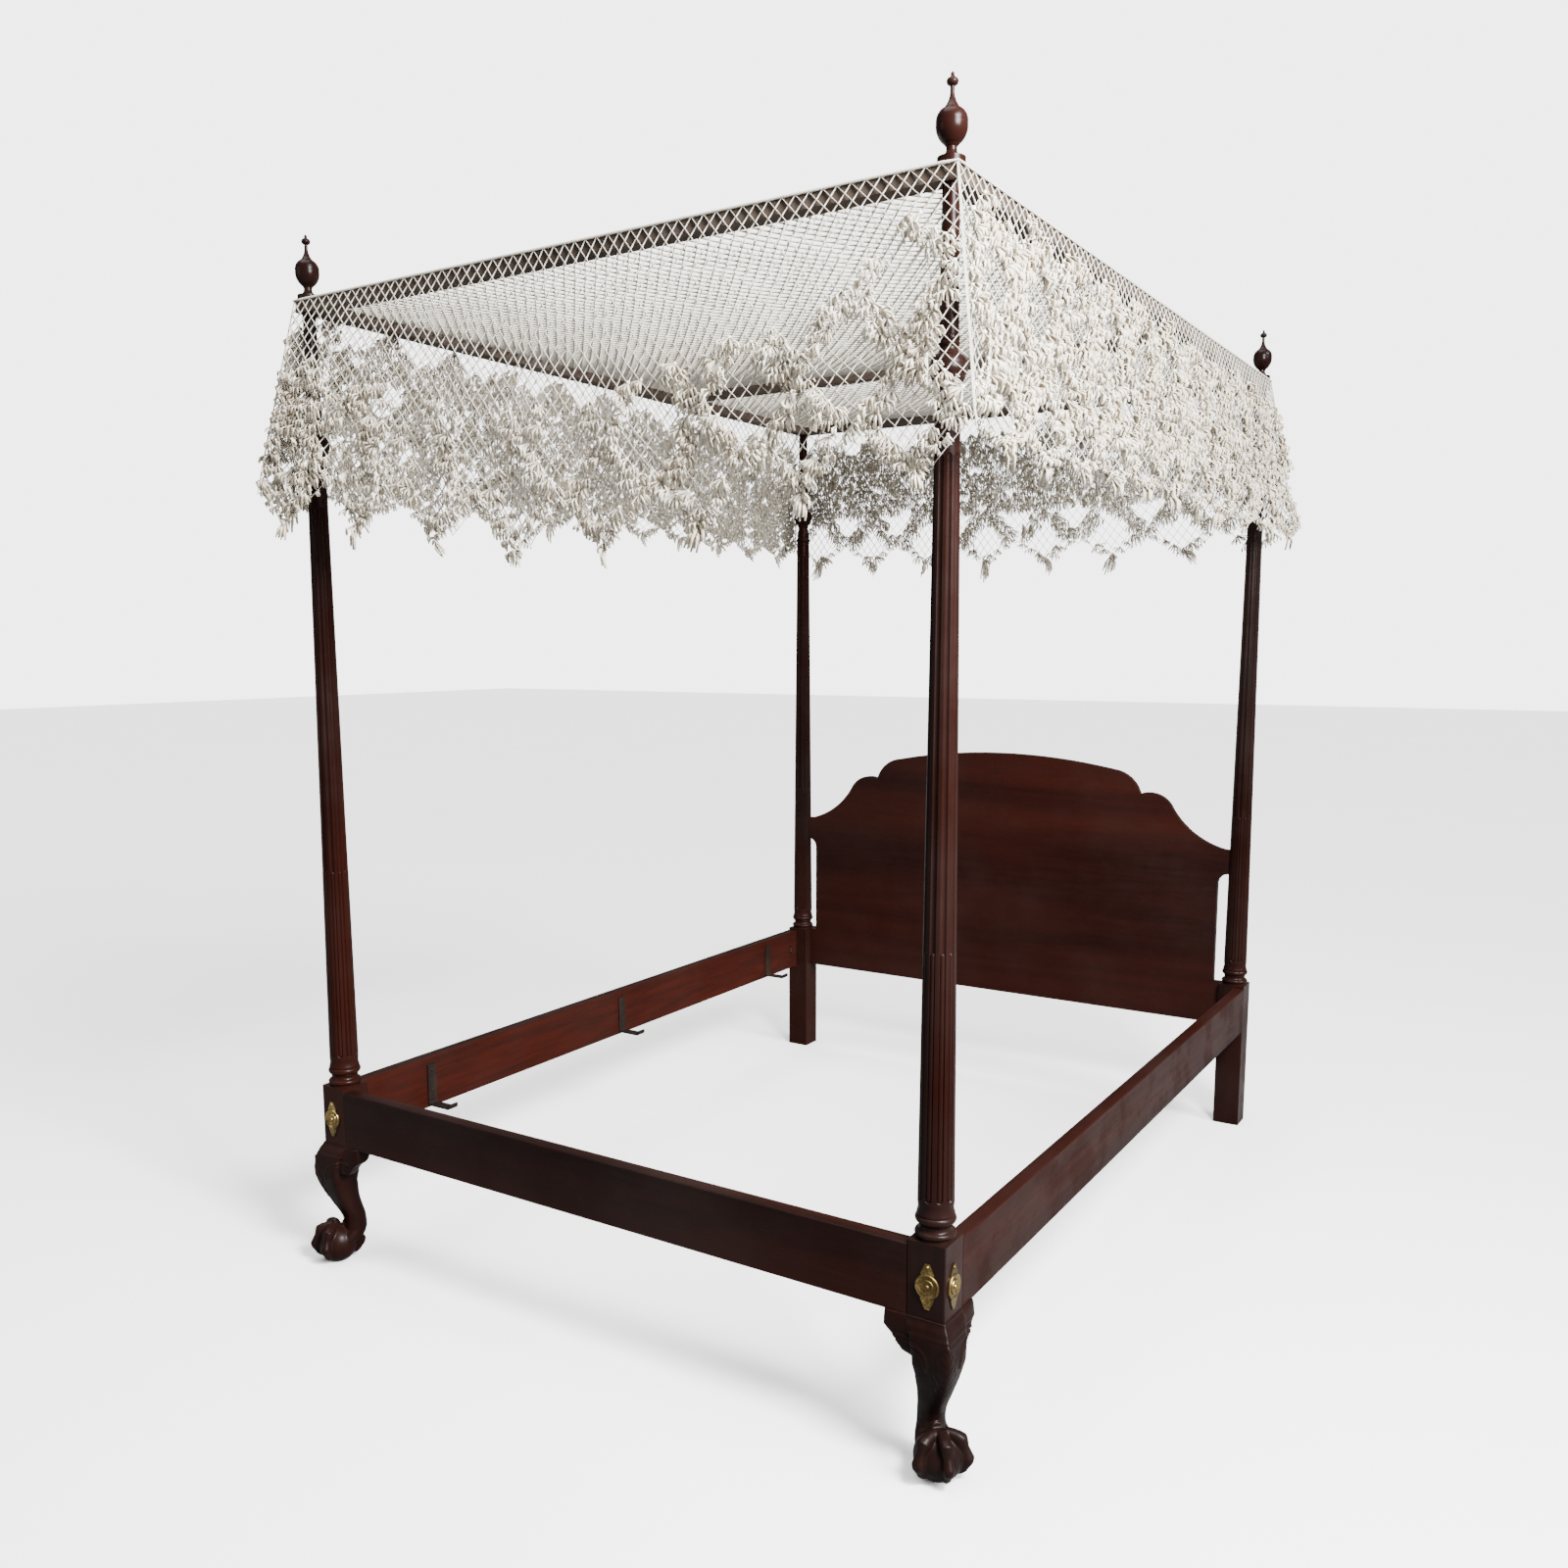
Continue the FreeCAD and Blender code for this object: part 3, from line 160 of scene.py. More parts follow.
class Effects:
    """Shader node groups that several finishes share, each built when it is first asked for."""

    @staticmethod
    def _start(name: str, value: str,
               outputs: Sequence[str]) -> tuple[Graph, NodeSocket, NodeSocket]:
        """Make a group that reads a vector and a value.

        Args:
            name: the group's name.
            value: the name of its value, which starts as 1.
            outputs: names of what it gives.

        Returns:
            The group's graph, and the sockets of its vector and its value.
        """
        tree = bpy.data.node_groups.new(name, "ShaderNodeTree")
        add = tree.interface.new_socket
        add("Vector", in_out="INPUT", socket_type="NodeSocketVector")
        add(value, in_out="INPUT", socket_type="NodeSocketFloat").default_value = 1
        for label in outputs:
            add(label, in_out="OUTPUT", socket_type="NodeSocketFloat")
        graph = Graph(tree)
        read = graph.add("NodeGroupInput").outputs
        return graph, read["Vector"], read[value]

    @staticmethod
    def _scaled(graph: Graph, vector: NodeSocket, fineness: NodeSocket) -> NodeSocket:
        """Scale a vector by a fineness."""
        return graph.add("ShaderNodeVectorMath", {0: vector, "Scale": fineness},
                         operation="SCALE").outputs[0]

    @cached_property
    def wood_grain(self) -> NodeTree:
        """Grain of a board: broad figure, fine streaks and open pores along the vector's Z.

        Returns:
            The group.
        """
        g, vector, fineness = self._start("wood_grain", "Fineness",
                                          ("Figure", "Streaks", "Pores"))
        place = self._scaled(g, vector, fineness)
        g.add("NodeGroupOutput", {
            "Figure": g.ranged(g.noise(place, 4.0, 3, 0.5, 0.8), 0.3, 0.7),
            "Streaks": g.ranged(g.noise(place, 42.0, 6, 0.65, 0.3), 0.32, 0.68),
            "Pores": g.ranged(g.noise(place, 230.0, 2, 0.5), 0.60, 0.72)})
        return g.tree

    @cached_property
    def handling(self) -> NodeTree:
        """Marks of use: soft cloudy rubbing, and a light film of dust in patches.

        Returns:
            The group.
        """
        g, vector, amount = self._start("handling", "Amount", ("Rubbing", "Film"))
        rubbing = g.ranged(g.noise(vector, 9.0, 5, 0.6), 0.42, 0.68)
        film = g.ranged(g.noise(vector, 2.6, 5, 0.6), 0.35, 0.75)
        g.add("NodeGroupOutput", {"Rubbing": g.math("MULTIPLY", rubbing, amount),
                                  "Film": g.math("MULTIPLY", film, amount)})
        return g.tree

    @cached_property
    def yarn(self) -> NodeTree:
        """Cotton yarn: fine upright fibres, and slow changes of tone from knot to knot.

        Returns:
            The group.
        """
        g, vector, fineness = self._start("yarn", "Fineness", ("Fibres", "Tone"))
        stretch = g.add("ShaderNodeMapping", {"Vector": self._scaled(g, vector, fineness),
                                              "Scale": (1.0, 1.0, 0.16)})
        g.add("NodeGroupOutput", {
            "Fibres": g.ranged(g.noise(stretch.outputs[0], 620.0, 3, 0.6, 0.5), 0.3, 0.7),
            "Tone": g.ranged(g.noise(vector, 14.0, 4, 0.6), 0.3, 0.72)})
        return g.tree


EFFECTS = Effects()


def start_material(name: str) -> tuple[Material, Graph, Node, NodeSocket]:
    """Make an empty material.

    Args:
        name: the material's name.

    Returns:
        The material, its graph, its Principled shader and the socket of its own coordinates.
    """
    material = bpy.data.materials.new(name)
    material.use_nodes = True
    material.node_tree.nodes.clear()
    graph = Graph(material.node_tree)
    shader = graph.add("ShaderNodeBsdfPrincipled")
    graph.add("ShaderNodeOutputMaterial", {"Surface": shader.outputs[0]})
    return material, graph, shader, graph.add("ShaderNodeTexCoord").outputs["Object"]


@dataclass(frozen=True)
class WoodFinish:
    """A stained and varnished board."""

    name: str
    grain: Grain
    dark: Colour
    middle: Colour
    light: Colour
    roughness: tuple[float, float] = (0.26, 0.42)
    coat: float = 0.02
    film: float = 0.15
    # Whether the board takes painted shade in the carving's hollows from its mesh's attribute.
    carved: bool = False
    gloss: float = 0.06
    inside: float = 0.0
    red: Colour = (0.028, 0.0040, 0.0017, 1)
    dust: Colour = (0.30, 0.27, 0.25, 1.0)
    stretch: float = 0.07
    fineness: float = 1.6
    grain_depth: float = 0.0006

    def build(self) -> Material:
        """Build the material.

        Returns:
            The material, with the redder inner face where the board has one.
        """
        material, g, shader, place = start_material(self.name)
        turn = {Grain.X: (0.0, math.pi / 2, 0.0), Grain.Y: (math.pi / 2, 0.0, 0.0),
                Grain.Z: (0.0, 0.0, 0.0)}[self.grain]
        turned = g.add("ShaderNodeMapping", {"Vector": place, "Rotation": turn})
        stretched = g.add("ShaderNodeMapping", {"Vector": turned.outputs[0],
                                                "Scale": (1.0, 1.0, self.stretch)})
        grain = g.group(EFFECTS.wood_grain, stretched.outputs[0], self.fineness)
        marks = g.group(EFFECTS.handling, place)
        tone = g.blend(grain["Figure"], self.dark, self.light)
        tone = g.blend(g.math("MULTIPLY", grain["Streaks"], 0.55), tone, self.middle)
        tone = g.blend(g.math("MULTIPLY", grain["Pores"], 0.45), tone, self.dark)
        # Painted shade: the carving's hollows darken towards a deeper tone of the dark wood, standing in for the
        # shade that falls in them.
        if self.carved:
            painted_shade = g.add("ShaderNodeAttribute", attribute_name="painted_shade").outputs["Fac"]
            tone = g.blend(g.math("MULTIPLY", painted_shade, 0.85), tone, dimmed(self.dark, 0.25))
        if self.inside:
            across = g.add("ShaderNodeSeparateXYZ", {0: place}).outputs["X"]
            inner = g.ranged(g.math("ABSOLUTE", across), self.inside + 0.004, self.inside, 0, 0.85)
            tone = g.blend(inner, tone, g.blend(grain["Streaks"], self.red, self.light))
        film = g.math("MULTIPLY", marks["Film"], 0.10 * self.film)
        rough = g.math("ADD", g.math("MULTIPLY", marks["Rubbing"], 0.7),
                       g.math("MULTIPLY", grain["Streaks"], 0.3))
        height = g.math("SUBTRACT", g.math("MULTIPLY", grain["Streaks"], 0.4), grain["Pores"])
        g.feed(shader, {
            "Base Color": g.blend(film, tone, self.dust),
            "Roughness": g.ranged(rough, 0.0, 1.0, *self.roughness),
            "Normal": g.bump(height, 0.25, self.grain_depth), "Coat Weight": self.coat,
            "Coat Roughness": 0.16, "Specular IOR Level": self.gloss})
        return material


@dataclass(frozen=True)
class MetalFinish:
    """A metal or painted metal surface with patches of wear or tarnish."""

    name: str
    clean: Colour
    dull: Colour
    metallic: float
    roughness: tuple[float, float]
    grit: float = 260.0
    relief: float = 0.0003
    gloss: float = 0.5

    def build(self) -> Material:
        """Build the material.

        Returns:
            The material.
        """
        material, g, shader, place = start_material(self.name)
        fine = g.noise(place, self.grit, 5, 0.6)
        rubbing = g.math("MULTIPLY", g.group(EFFECTS.handling, place)["Rubbing"], 0.45)
        patch = g.ranged(g.math("ADD", rubbing, fine), 0.35, 0.95)
        g.feed(shader, {
            "Base Color": g.blend(patch, self.clean, self.dull),
            "Roughness": g.ranged(patch, 0, 1, *self.roughness), "Metallic": self.metallic,
            "Specular IOR Level": self.gloss, "Normal": g.bump(fine, 0.3, self.relief)})
        return material


@dataclass(frozen=True)
class CottonFinish:
    """Off-white cotton yarn, knotted or cut."""

    name: str
    pale: Colour
    shade: Colour
    fineness: float = 1.0
    relief: float = 0.0012
    # Whether the yarn's roots take painted shade from the mesh's attribute, as in the tufts.
    painted_root_shade: bool = False
    dust: Colour = (0.62, 0.55, 0.44, 1.0)

    def build(self) -> Material:
        """Build the material.

        Returns:
            The material, with painted shade darkening the roots of the tufts' yarn.
        """
        material, g, shader, place = start_material(self.name)
        yarn = g.group(EFFECTS.yarn, place, self.fineness)
        film = g.group(EFFECTS.handling, place)["Film"]
        tone = g.blend(yarn["Tone"], self.pale, self.shade)
        tone = g.blend(g.math("MULTIPLY", yarn["Fibres"], 0.35), tone, dimmed(self.shade, 0.62))
        tone = g.blend(g.math("MULTIPLY", film, 0.18), tone, self.dust)
        # Painted shade: the tufts' yarn darkens towards each knot, where shade falls among the ends; the same
        # attribute also holds each end's random tone.
        if self.painted_root_shade:
            painted_shade = g.add("ShaderNodeAttribute", attribute_name="painted_shade").outputs["Fac"]
            tone = g.blend(painted_shade, tone, dimmed(self.shade, 0.42))
        g.feed(shader, {
            "Base Color": tone, "Roughness": g.ranged(yarn["Fibres"], 0, 1, 0.82, 0.96),
            "Normal": g.bump(yarn["Fibres"], 0.7, self.relief), "Sheen Weight": 0.25,
            "Sheen Roughness": 0.5, "Subsurface Weight": 0.12,
            "Subsurface Radius": (0.004, 0.0035, 0.003), "Subsurface Scale": 1.0})
        return material


@dataclass(frozen=True)
class FloorFinish:
    """Pale studio floor with a faint mottling, which throws little light back up."""

    name: str = "studio_floor"
    pale: Colour = (0.92, 0.92, 0.92, 1.0)
    thrown: Colour = (0.16, 0.16, 0.16, 1.0)

    def build(self) -> Material:
        """Build the material.

        Returns:
            The material.
        """
        material, g, shader, place = start_material(self.name)
        mottling = g.ranged(g.noise(place, 1.2, 3), 0.3, 0.7)
        seen = g.add("ShaderNodeLightPath").outputs["Is Camera Ray"]
        tone = g.blend(mottling, self.pale, dimmed(self.pale, 0.985))
        g.feed(shader, {"Base Color": g.blend(seen, self.thrown, tone), "Roughness": 0.9})
        return material


class Finishes:
    """Every finish of the bed, built once."""

    def __init__(self) -> None:
        """Build the materials."""
        woods = ((0.0036, 0.0009, 0.0006, 1), (0.0084, 0.0018, 0.0011, 1),
                 (0.0142, 0.0029, 0.0016, 1))
        carved = (woods[0], (0.0058, 0.0013, 0.0008, 1), woods[1])
        board = ((0.0062, 0.0010, 0.0006, 1), (0.0126, 0.0021, 0.0011, 1),
                 (0.0190, 0.0034, 0.0017, 1))
        laths = ((0.022, 0.0150, 0.0115, 1), (0.048, 0.034, 0.026, 1), (0.075, 0.054, 0.041, 1))
        self.post = WoodFinish("mahogany_posts", Grain.Z, *woods).build()
        self.carved = WoodFinish("mahogany_carved", Grain.Z, *carved, (0.36, 0.50), 0.02, 0.1,
                                 True).build()
        self.rail_x = WoodFinish("mahogany_foot_rail", Grain.X, *woods, (0.28, 0.46)).build()
        self.rail_y = WoodFinish("mahogany_side_rails", Grain.Y, *woods, (0.38, 0.56), 0.0, 0.1,
                                 inside=BED.rail_inner).build()
        self.board = WoodFinish("mahogany_headboard", Grain.X, *board, (0.34, 0.5), 0.0, 0.1,
                                gloss=0.10).build()
        self.lath = {g: WoodFinish("tester_laths_" + g.value, g, *laths, (0.5, 0.7), 0.0,
                                   0.8).build() for g in (Grain.X, Grain.Y)}
        self.brass = MetalFinish("aged_brass", (0.36, 0.255, 0.092, 1),
                                 (0.085, 0.058, 0.021, 1), 1.0, (0.22, 0.42)).build()
        self.iron = MetalFinish("black_iron", (0.0060, 0.0044, 0.0038, 1),
                                (0.015, 0.0090, 0.0062, 1), 0.0, (0.55, 0.75), gloss=0.08).build()
        self.steel = MetalFinish("plain_steel", (0.55, 0.55, 0.56, 1), (0.36, 0.35, 0.34, 1),
                                 1.0, (0.28, 0.45)).build()
        # Painted shade: the net is the same cotton as the tufts but given a much darker colour, standing in for
        # the shade its thin strands are seen in.
        self.net = CottonFinish("cotton_net_shade_darkened", (0.56, 0.525, 0.455, 1),
                                (0.38, 0.345, 0.28, 1)).build()
        self.tufts = CottonFinish("cotton_tufts", (0.93, 0.865, 0.73, 1),
                                  (0.68, 0.575, 0.42, 1), 0.8, 0.0016, True).build()


def dress(node: str, material: Material) -> None:
    """Give a carried-over node its material."""
    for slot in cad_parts[node].material_slots:
        slot.material = material


def smooth(mesh: Mesh) -> None:
    """Shade every face of a mesh smooth."""
    mesh.polygons.foreach_set("use_smooth", [True] * len(mesh.polygons))


def mesh_of(name: str, bm: BMesh) -> Mesh:
    """Turn a bmesh into a mesh.

    Args:
        name: the mesh's name.
        bm: the bmesh; it is freed.

    Returns:
        The mesh.
    """
    mesh = bpy.data.meshes.new(name)
    bm.to_mesh(mesh)
    bm.free()
    return mesh


def linked(name: str, data: ID) -> Object:
    """Put an object with its mesh, light or camera into the scene.

    Args:
        name: the object's name.
        data: what it shows.

    Returns:
        The object.
    """
    made = bpy.data.objects.new(name, data)
    bpy.context.scene.collection.objects.link(made)
    return made


def piece(name: str, bm: BMesh, material: Material, body: str) -> Object:
    """Turn a finished bmesh into a piece of the bed that rides on a body.

    Args:
        name: the piece's name.
        bm: its mesh, in row coordinates; it is freed.
        material: its finish.
        body: the body it moves with.

    Returns:
        The piece's object.
    """
    mesh = mesh_of(name, bm)
    mesh.materials.append(material)
    smooth(mesh)
    made = linked(name, mesh)
    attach(made, body)
    log.info("%s: %d faces", name, len(mesh.polygons))
    return made


@dataclass(frozen=True)
class Joinery:
    """The planks, turnings and fasteners carried over from the frame, with their finishes."""

    finishes: Finishes

    def build(self) -> None:
        """Dress every carried-over node."""
        f = self.finishes
        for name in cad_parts:
            dress(name, f.post)
        for side in ("left", "right"):
            dress("side_rail_" + side, f.rail_y)
            for place in ("foot", "middle", "head"):
                dress(f"hanger_{place}_{side}", f.iron)
            for face in ("foot", "side"):
                dress(f"bolt_cover_{face}_{side}", f.brass)
        dress("foot_rail", f.rail_x)
        dress("headboard", f.board)
        dress("hanger_screws", f.iron)
        dress("cover_pins", f.brass)
        for name in ("bed_bolts", "bed_nuts", "tester_pins"):
            dress(name, f.steel)
        for name in ("left", "right"):
            dress("tester_lath_" + name, f.lath[Grain.Y])
        for name in ("foot", "head", "cross"):
            dress("tester_lath_" + name, f.lath[Grain.X])
        log.info("dressed %d nodes", len(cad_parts))


@dataclass(frozen=True)
class Ring:
    """One cross-section of a lofted shape: a circle drawn out towards a square."""

    centre: Vector
    across: Vector
    along: Vector
    power: float

    def point(self, angle: float) -> Vector:
        """Find a point of the section.

        Args:
            angle: where on the section it lies, in radians.

        Returns:
            The point.
        """
        c, s = math.cos(angle), math.sin(angle)
        size = (abs(c) ** self.power + abs(s) ** self.power) ** (-1 / self.power)
        return self.centre + self.across * (c * size) + self.along * (s * size)


def around(verts: Sequence[BMVert]) -> list[BMEdge]:
    """The edges of a circle that was just made."""
    return list({edge for vert in verts for edge in vert.link_edges})


def bridged(bm: BMesh, loops: Sequence[list[BMEdge]]) -> None:
    """Bridge loops of edges in order, and close both ends.

    Args:
        bm: their mesh.
        loops: the loops.
    """
    for low, high in zip(loops, loops[1:]):
        bmesh.ops.bridge_loops(bm, edges=low + high)
    for end in (loops[0], loops[-1]):
        bmesh.ops.contextual_create(bm, geom=end)
    bmesh.ops.recalc_face_normals(bm, faces=bm.faces)


def loft(bm: BMesh, rings: Sequence[Ring], segments: int) -> None:
    """Bridge circles that are moved onto each ring, and close both ends.

    Args:
        bm: the mesh that gains the shape.
        rings: its sections in order.
        segments: how many points each has.
    """
    loops = []
    for ring in rings:
        made = bmesh.ops.create_circle(bm, segments=segments, radius=1.0)["verts"]
        loops.append(around(made))
        for vert in made:
            vert.co = ring.point(math.atan2(vert.co.y, vert.co.x))
    bridged(bm, loops)


def trimmed(bm: BMesh, height: float, up: bool) -> None:
    """Cut a closed mesh off level at a height and close the cut.

    Args:
        bm: the mesh.
        height: where it is cut.
        up: whether what lies above is cut off.
    """
    cut = bmesh.ops.bisect_plane(bm, geom=bm.verts[:] + bm.edges[:] + bm.faces[:], dist=1e-6,
                                 plane_co=(0, 0, height), plane_no=(0, 0, 1 if up else -1),
                                 clear_outer=True)["geom_cut"]
    edges = [part for part in cut if isinstance(part, BMEdge)]
    bmesh.ops.edgeloop_fill(bm, edges=edges)


def step(value: float, low: float, high: float) -> float:
    """Smooth step between two values.

    Args:
        value: the value.
        low: where the step starts.
        high: where it ends.

    Returns:
        0 up to low, 1 from high on.
    """
    share = min(1.0, max(0.0, (value - low) / (high - low)))
    return share * share * (3 - 2 * share)


@dataclass(frozen=True)
class Ridge:
    """A soft raised line of carving."""

    height: float
    width: float

    def at(self, distance: float) -> float:
        """Its height at a distance from its middle."""
        return self.height * math.exp(-(distance / self.width) ** 2)


@dataclass(frozen=True)
class Leaf:
    """Soft leaf that hangs down the knee beside its arris: lobed rim, ribs and a sunk ground."""

    top: float = 0.256
    length: float = 0.105
    half: float = 0.030
    taper: tuple[float, float] = (0.78, 0.20)
    lobes: tuple[float, float] = (3.4, 20)
    lobe_share: tuple[float, float] = (0.76, 0.28)
    swell: float = 0.0005
    rim: Ridge = Ridge(0.0007, 0.0017)
    rim_inset: float = 0.0020
    ribs: tuple[float, float, float] = (62, 2.1, 30)
    rib_height: float = 0.00035
    ground: float = 0.0004

    def at(self, edge: float, height: float) -> float:
        """Work out the leaf's height at a point of the knee.

        Args:
            edge: the point's distance from the arris.
            height: its height above the floor.

        Returns:
            How far the surface moves outward.
        """
        fall = (self.top - height) / self.length
        if not 0 <= fall <= 1.05:
            return 0.0
        lobes = 0.5 + 0.5 * math.cos(math.tau * (fall * self.lobes[0] + edge * self.lobes[1]))
        full = min(1.0, fall * self.taper[0] + self.taper[1])
        width = self.half * math.sin(math.pi * full) ** 0.8
        width *= self.lobe_share[0] + self.lobe_share[1] * lobes
        inside = step(width - edge, -0.0006, 0.0026)
        count, sweep, reach = self.ribs
        ribs = math.cos(math.tau * (height * count - sweep * (edge * reach) ** 0.7))
        ribs *= step(edge, 0.002, 0.012) * step(width - edge, 0.0, 0.006)
        ground = -self.ground * step(width - edge, -0.010, -0.001) * (1 - inside)
        rim = self.rim.at(width - edge - self.rim_inset) * (fall > 0.03)
        return inside * (self.swell + self.rib_height * ribs) + rim + ground


@dataclass(frozen=True)
class Scroll:
    """C-scroll that rolls up at the ear's end and sweeps below the top band on to the knee."""

    faces: tuple[float, float] = (-0.075, 0.03)
    heights: tuple[float, float] = (0.20, 0.275)
    away: float = 0.050
    middle: float = 0.2490
    start: float = 0.0030
    pitch: float = 0.0052
    radius: float = 0.0115
    coil: Ridge = Ridge(0.0015, 0.0016)
    ground: float = 0.0006
    eye: Ridge = Ridge(0.0022, 0.0030)
    frond: Ridge = Ridge(0.0021, 0.0023)
    frond_line: tuple[tuple[float, float], ...] = (
        (-0.058, 0.256), (-0.050, 0.261), (-0.028, 0.2605), (-0.007, 0.253), (0.008, 0.244),
        (0.0145, 0.230), (0.0155, 0.214))
    vein: Ridge = Ridge(0.0011, 0.0023)
    vein_line: tuple[tuple[float, float], ...] = (
        (-0.044, 0.2540), (-0.028, 0.2535), (-0.010, 0.2455), (0.004, 0.236), (0.009, 0.222))

    @staticmethod
    def _apart(point: Vector, line: Sequence[tuple[float, float]]) -> float:
        """Measure how far a point of the carved face is from a line drawn on it.

        Args:
            point: the point's place along the face and its height.
            line: the corners of the line.

        Returns:
            The shortest distance.
        """
        nearest = []
        for a, b in zip(map(Vector, line), map(Vector, line[1:])):
            foot, share = intersect_point_line(point, a, b)
            ends = min((a - point).length, (b - point).length)
            nearest.append((foot - point).length if 0 < share < 1 else ends)
        return min(nearest)

    def at(self, face: float, height: float) -> float:
        """Work out the scroll's height at a point of the carved face.

        Args:
            face: the point's place along the face.
            height: its height above the floor.

        Returns:
            How far the surface moves outward.
        """
        (left, right), (low, high) = self.faces, self.heights
        if not (left < face < right and low < height < high):
            return 0.0
        x, z = -face - self.away, height - self.middle
        distance, angle = math.hypot(x, z), math.atan2(z, x)
        turn = (distance - self.start) / self.pitch - (angle / math.tau)
        carved = self.coil.at((turn - round(turn)) * self.pitch) - self.ground
        carved *= step(self.radius - distance, -0.001, 0.002)
        carved += self.eye.at(distance)
        for line, ridge in ((self.frond_line, self.frond), (self.vein_line, self.vein)):
            carved += ridge.at(self._apart(Vector((face, height)), line))
        return carved


@dataclass
class CabrioleLeg:
    """Carved leg with a ball-and-claw foot and a scrolled ear under each rail."""

    side: str
    finish: Material
    sections: tuple[tuple[float, float, float, float], ...] = (
        (1.020, 0.000, 0.500, 0.06), (0.985, 0.040, 0.510, 0.08), (0.953, 0.120, 0.537, 0.12),
        (0.879, 0.307, 0.531, 0.20), (0.799, 0.373, 0.524, 0.25), (0.732, 0.373, 0.522, 0.30),
        (0.664, 0.353, 0.475, 0.40), (0.611, 0.293, 0.453, 0.50), (0.547, 0.213, 0.412, 0.60),
        (0.480, 0.107, 0.380, 0.70), (0.423, 0.000, 0.356, 0.80), (0.376, -0.080, 0.346, 0.90),
        (0.319, -0.120, 0.341, 0.96), (0.268, -0.113, 0.354, 0.96), (0.221, 0.020, 0.430, 0.96),
        (0.185, 0.150, 0.480, 0.96), (0.150, 0.240, 0.440, 1.00))
    ball: float = 0.0455
    ball_height: float = 0.0425
    ball_shift: float = 0.033
    toe_angles: tuple[float, ...] = (-62.0, 0.0, 62.0, 180.0)
    toe: float = 0.0119
    toe_rings: tuple[tuple[float, float, float], ...] = (
        (12, 1.00, -2), (26, 1.00, 1), (38, 1.10, 4), (48, 1.22, 6), (57, 1.02, 4.5), (66, 0.86, 3),
        (76, 0.90, 4), (86, 1.08, 5.5), (95, 1.00, 4.5), (104, 0.78, 2.5), (114, 0.66, 2),
        (124, 0.46, 0.5), (134, 0.22, -2))
    ear_length: float = 0.0445
    ear_rings: tuple[tuple[float, float, float], ...] = (
        (-0.40, 0.070, 0.0040), (0.00, 0.076, 0.0085), (0.30, 0.0745, 0.0085),
        (0.52, 0.069, 0.0085), (0.62, 0.060, 0.0080), (0.71, 0.050, 0.0075),
        (0.80, 0.0425, 0.0070), (0.88, 0.0385, 0.0060), (0.95, 0.0350, 0.0040),
        (0.99, 0.0300, 0.0005), (1.00, 0.0230, -0.0065))
    ear_lean: float = 0.12
    ear_inside: float = 0.034
    skin: float = 0.0017
    smoothing: int = 7
    front: tuple[float, float] = (-0.004, 0.003)
    arris: Ridge = Ridge(0.0009, 0.0028)
    band_low: float = 0.2700
    band: float = 0.0008
    bead: Ridge = Ridge(0.0007, 0.0026)
    bead_lift: float = 0.0010
    knob: Ridge = Ridge(0.0042, 0.0046)
    knob_height: float = 0.2625
    leaf: Leaf = Leaf()
    scroll: Scroll = Scroll()
    # Painted shade in the carving's hollows: how far below the surface a hollow starts to darken, and how dark it
    # gets.
    shaded: float = 0.0009
    shading: float = 0.55

    def _mirror(self) -> float:
        """Sign of the side's X."""
        return 1.0 if self.side == "right" else -1.0

    def _section(self, row: tuple[float, float, float, float]) -> Ring:
        """Work out one level section of the leg, in the right leg's own axes.

        Args:
            row: its height and its shares of the block: shift outward, half width and roundness.

        Returns:
            The section.
        """
        height, shift, half, corner = row
        size = half * BED.block
        away = shift * BED.block / math.sqrt(2)
        power = 1 / (0.5 - math.log2(math.sqrt(2) - corner * (math.sqrt(2) - 1)))
        return Ring(Vector((away, -away, height * BED.block_bottom)), Vector((size, 0, 0)),
                    Vector((0, size, 0)), power)

    def _toe(self, angle: float) -> list[Ring]:
        """Work out the sections of one knuckled toe.

        Args:
            angle: where it grips the ball, in degrees from the leg's front.

        Returns:
            Its sections, from the ankle to its claw.
        """
        away = self.ball_shift / math.sqrt(2)
        centre = Vector((away, -away, self.ball_height))
        turn = math.radians(angle - 45)
        flat = Vector((math.cos(turn), math.sin(turn), 0))
        side = Vector((-math.sin(turn), math.cos(turn), 0))
        rings = []
        for tilt, width, lift in self.toe_rings:
            down = math.radians(tilt)
            radial = flat * math.sin(down) + Vector((0, 0, math.cos(down)))
            size = self.toe * width
            reach = self.ball + 0.001 * lift
            rings.append(Ring(centre + radial * reach, side * size * 0.92,
                              radial * size * 1.05, 2.3))
        return rings

    def _ear(self, along: Vector, out: Vector) -> list[Ring]:
        """The sections of one ear.

        Args:
            along: direction of its rail from the post.
            out: direction that its carved face looks.

        Returns:
            Its sections, from inside the knee to its scrolled end.
        """
        rings = []
        top = BED.block_bottom + 0.006
        for share, depth, proud in self.ear_rings:
            reach = share * (BED.block / 2 + self.ear_length)
            face = BED.block / 2 + proud
            thick = face - BED.block / 2 + self.ear_inside
            low = BED.block_bottom - depth
            centre = along * reach + out * (face - thick / 2) + Vector((0, 0, (top + low) / 2))
            upright = (Vector((0, 0, 1)) - out * self.ear_lean) * (top - low) / 2
            rings.append(Ring(centre, out * thick / 2, upright, 3.6))
        return rings

    def _blank(self) -> BMesh:
        """Rough out the leg, its ball, toes and ears.

        Returns:
            The overlapping shapes.
        """
        bm = bmesh.new()
        loft(bm, [self._section(row) for row in self.sections], 64)
        away = self.ball_shift / math.sqrt(2)
        bmesh.ops.create_icosphere(bm, subdivisions=5, radius=self.ball,
                                   matrix=Matrix.Translation((away, -away, self.ball_height)))
        for angle in self.toe_angles:
            loft(bm, self._toe(angle), 24)
        loft(bm, self._ear(Vector((-1, 0, 0)), Vector((0, -1, 0))), 40)
        loft(bm, self._ear(Vector((0, 1, 0)), Vector((1, 0, 0))), 40)
        return bm

